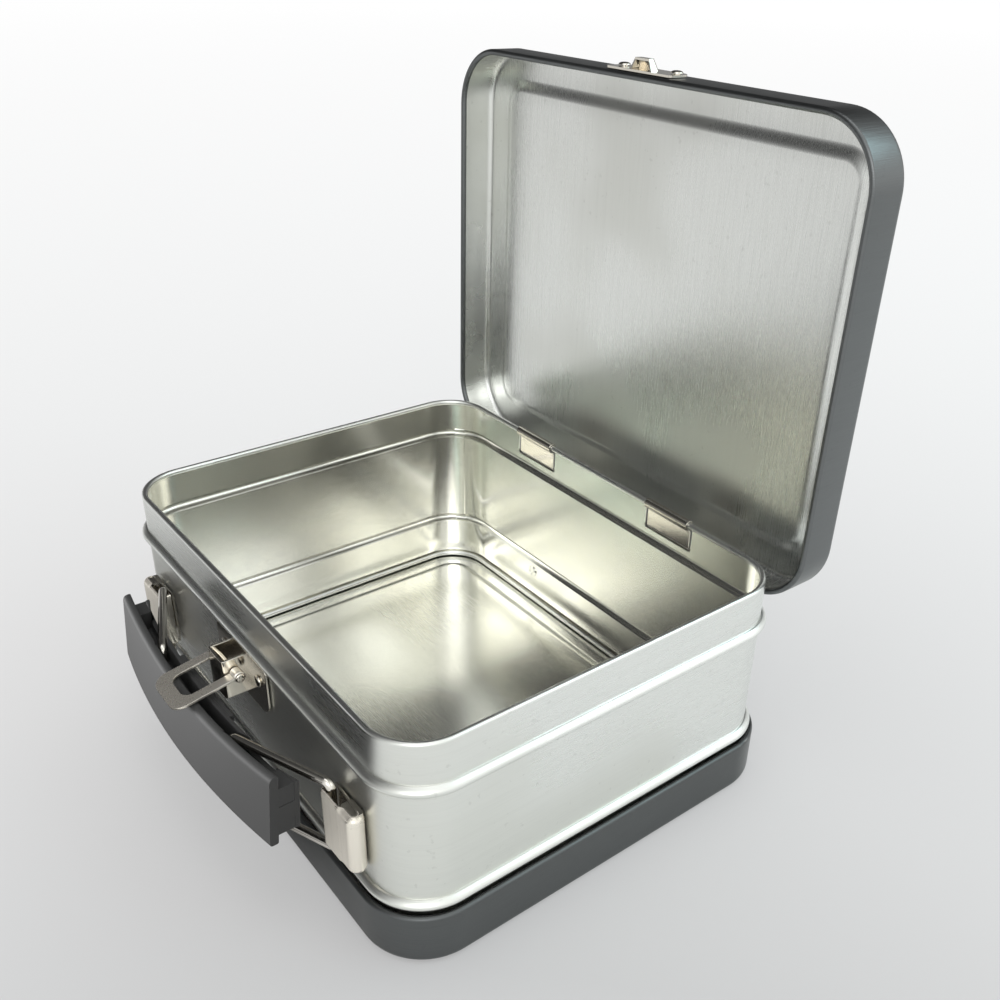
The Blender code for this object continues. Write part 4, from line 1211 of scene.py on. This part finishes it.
BLACK = (0.0, 0.0, 0.0, 1.0)
WHITE = (1.0, 1.0, 1.0, 1.0)
FLOOR_FADE = (-0.50, 0.42)
FLOOR_FADE_POWER = 0.8
# painted shade on the floor, seen only in reflections: beside the latch side and left of the box
FLOOR_PAINTED_SHADE_BESIDE = (0.03, 0.03, 0.03, 1.0)
FLOOR_PAINTED_SHADE_LEFT = (0.05, 0.05, 0.05, 1.0)
# strength of the floor's painted glow, seen only by the camera, which fills in the shadows on it
FLOOR_GLOW = 1.1
ROOM_SEEN = (1.15, 1.17, 1.15, 1.0)
ROOM_STRENGTH = 1.04


def floor_material():
    """Pale floor: it greys towards the front, and polished metal sees painted shade on it beside the latch
    side and left of the box, a painted stand-in for the box's shadow and handle in the metal's reflections.
    """
    made = bpy.data.materials.new("floor")
    made.use_nodes = True
    tree = made.node_tree
    shader = tree.nodes["Principled BSDF"]
    place = add(tree, "ShaderNodeTexCoord").outputs["Object"]
    parts = add(tree, "ShaderNodeSeparateXYZ", {0: place})
    below_camera = (*CAMERA_PLACE[:2], STAND)
    away = add(tree, "ShaderNodeVectorMath", {0: place, 1: below_camera}, operation="DISTANCE")
    slant = maths(tree, "DIVIDE", CAMERA_PLACE[2] - STAND, away.outputs["Value"])
    tilt = math.tan(CAMERA_TURN[1])
    rise = maths(tree, "DIVIDE", maths(tree, "SUBTRACT", slant, tilt),
                 maths(tree, "ADD", maths(tree, "MULTIPLY", slant, tilt), 1.0))
    values = {"Value": rise, "From Min": FLOOR_FADE[0], "From Max": FLOOR_FADE[1]}
    fade = add(tree, "ShaderNodeMapRange", values)
    fade = maths(tree, "POWER", fade.outputs["Result"], FLOOR_FADE_POWER)
    plain = mixed(tree, fade, colour(FLOOR_FAR), colour(FLOOR_NEAR))
    x, y = parts.outputs["X"], parts.outputs["Y"]
    # painted shade for reflections: dark patches beside the latch side and left of the box, seen only by
    # glossy rays
    dark = maths(tree, "MULTIPLY", spread(tree, x, -0.30, -0.05), spread(tree, x, 0.06, 0.02))
    beside = maths(tree, "MULTIPLY", spread(tree, y, -3.0, -0.6, 0.6, 1.0), spread(tree, y, -0.07, -0.10))
    seen = mixed(tree, maths(tree, "MULTIPLY", dark, beside), colour(FLOOR_SEEN), FLOOR_PAINTED_SHADE_BESIDE)
    left = maths(tree, "MULTIPLY", spread(tree, x, -0.36, -0.42), spread(tree, y, -0.14, -0.06))
    seen = mixed(tree, left, seen, FLOOR_PAINTED_SHADE_LEFT)
    rays = add(tree, "ShaderNodeLightPath").outputs
    base = mixed(tree, rays["Is Glossy Ray"], plain, seen)
    # the camera sees the floor half lit and half glowing: a painted glow that halves the shadows on it
    half = mixed(tree, 0.5, BLACK, plain)
    tree.links.new(mixed(tree, rays["Is Camera Ray"], base, half), shader.inputs["Base Color"])
    glow = mixed(tree, rays["Is Camera Ray"], BLACK, half)
    tree.links.new(glow, shader.inputs["Emission Color"])
    shader.inputs["Emission Strength"].default_value = FLOOR_GLOW
    shader.inputs["Roughness"].default_value = 0.9
    shader.inputs["Specular IOR Level"].default_value = 0.0
    return made


def studio_world():
    """Even light for matt surfaces; polished metal sees a surround that dims to the left, most high up."""
    world = bpy.data.worlds.new("studio")
    bpy.context.scene.world = world
    world.use_nodes = True
    tree = world.node_tree
    ground = tree.nodes["Background"]
    toward = add(tree, "ShaderNodeTexCoord").outputs["Generated"]
    parts = add(tree, "ShaderNodeSeparateXYZ", {0: toward})
    side = spread(tree, parts.outputs["X"], -0.45, 0.50)
    low = spread(tree, parts.outputs["Z"], 0.45, 0.0, 0.05, 0.30)
    dim = add(tree, "ShaderNodeCombineColor", {"Red": low, "Green": low, "Blue": low}).outputs["Color"]
    seen = mixed(tree, side, dim, ROOM_SEEN)
    glossy = add(tree, "ShaderNodeLightPath").outputs["Is Glossy Ray"]
    tree.links.new(mixed(tree, glossy, WHITE, seen), ground.inputs["Color"])
    ground.inputs["Strength"].default_value = ROOM_STRENGTH
    return world


def softbox(name, place, aim, size, power, tint=(1.0, 1.0, 1.0)):
    light = bpy.data.lights.new(name, "AREA")
    light.shape = "RECTANGLE"
    light.size, light.size_y = size
    light.energy = power
    light.color = tint
    made = bpy.data.objects.new(name, light)
    made.location = place
    made.rotation_euler = (Vector(aim) - Vector(place)).to_track_quat("-Z", "Y").to_euler()
    bpy.context.scene.collection.objects.link(made)
    return made


# name, place, size, power and tint of each softbox; all of them point at AIM
AIM = (0.0, 0.0, 0.08)
SOFTBOXES = (
    ("overhead", (0.10, -0.10, 1.60), (0.9, 0.7), 2.0),
    ("back_right", (0.75, 0.90, 1.05), (0.9, 0.5), 3.0, (0.62, 0.95, 1.0)),
    ("front_right", (0.95, -0.78, 0.78), (0.8, 0.6), 2.6),
)
FLOOR_REACH = 12.0
FLOOR_FAR = (0.94, 0.94, 0.94)
FLOOR_NEAR = (0.555, 0.555, 0.556)
FLOOR_SEEN = (0.72, 0.72, 0.71)
CAMERA_PLACE = (0.2757, -0.1791, 0.2679)
GRIP_LIGHT = ((-0.46, -0.56, 0.09), (0.0, -0.10, 0.045), (0.30, 0.14), 6.0)
CAMERA_TURN = (math.radians(50.488), math.radians(29.975), math.radians(2.096))
CAMERA_LENS = 38.04
CAMERA_SHIFT = (-0.0427, 0.0330)


def grip_light():
    """A low softbox that lights only the grip, so that its outer face stands out from its black edges."""
    place, aim, size, power = GRIP_LIGHT
    light = softbox("grip_light", place, aim, size, power)
    lit = bpy.data.collections.new("lit_by_grip_light")
    lit.objects.link(bpy.data.objects["handle_grip_fine"])
    light.light_linking.receiver_collection = lit
    return light


class LUNCHBOX_OT_stage(bpy.types.Operator):
    """Floor, soft studio light and the camera"""
    bl_idname = "lunch_box.stage"
    bl_label = "Stage"

    def execute(self, context):
        scene = bpy.context.scene
        mesh = bpy.data.meshes.new("floor")
        corners = [(x * FLOOR_REACH, y * FLOOR_REACH, STAND) for x, y in ((-1, -1), (1, -1), (1, 1), (-1, 1))]
        mesh.from_pydata(corners, [], [(0, 1, 2, 3)])
        mesh.materials.append(floor_material())
        floor = bpy.data.objects.new("floor", mesh)
        scene.collection.objects.link(floor)
        studio_world()
        boxes = [softbox(name, place, AIM, *rest) for name, place, *rest in SOFTBOXES]
        grip_light()
        azimuth, elevation, roll = CAMERA_TURN
        back = Vector((math.sin(azimuth) * math.cos(elevation), -math.cos(azimuth) * math.cos(elevation),
                       math.sin(elevation)))
        right = Vector((math.cos(azimuth), math.sin(azimuth), 0.0))
        up = back.cross(right)
        across = right * math.cos(roll) + up * math.sin(roll)
        above = up * math.cos(roll) - right * math.sin(roll)
        lens = bpy.data.cameras.new("camera")
        lens.lens = CAMERA_LENS
        lens.shift_x, lens.shift_y = CAMERA_SHIFT
        lens.clip_start = 0.01
        camera = bpy.data.objects.new("camera", lens)
        turn = Matrix((across, above, back)).transposed().to_4x4()
        camera.matrix_world = Matrix.Translation(CAMERA_PLACE) @ turn
        scene.collection.objects.link(camera)
        scene.camera = camera
        scene.view_settings.view_transform = "Standard"
        scene.view_settings.look = "None"
        return {"FINISHED"}


# --- panel and start -------------------------------------------------------------------

BUILD_ORDER = ("body_band", "pans", "hinges", "rivets", "latch", "keeper", "carrier", "grip", "stage")


class LUNCHBOX_PT_sidebar(bpy.types.Panel):
    """Buttons and settings of the lunch box"""
    bl_label = "Tin Lunch Box"
    bl_idname = "LUNCHBOX_PT_sidebar"
    bl_space_type = "VIEW_3D"
    bl_region_type = "UI"
    bl_category = "Lunch Box"

    def draw(self, context):
        layout = self.layout
        for group in (context.scene.lunch_box.tin, context.scene.lunch_box.finish):
            box = layout.box()
            for key in group.__annotations__:
                box.prop(group, key)
        for step in BUILD_ORDER:
            layout.operator("lunch_box." + step)


CLASSES = (
    TinSettings,
    FinishSettings,
    LunchBoxSettings,
    LUNCHBOX_OT_body_band,
    LUNCHBOX_OT_pans,
    LUNCHBOX_OT_hinges,
    LUNCHBOX_OT_rivets,
    LUNCHBOX_OT_latch,
    LUNCHBOX_OT_keeper,
    LUNCHBOX_OT_carrier,
    LUNCHBOX_OT_grip,
    LUNCHBOX_OT_stage,
    LUNCHBOX_PT_sidebar,
)


def register():
    for item in CLASSES:
        bpy.utils.register_class(item)
    bpy.types.Scene.lunch_box = PointerProperty(
        type=LunchBoxSettings, name="Lunch Box", description="Sizes and finishes of the lunch box")


def unregister():
    del bpy.types.Scene.lunch_box
    for item in reversed(CLASSES):
        bpy.utils.unregister_class(item)


def main():
    register()
    for step in BUILD_ORDER:
        getattr(bpy.ops.lunch_box, step)()


if __name__ == "__main__":
    main()
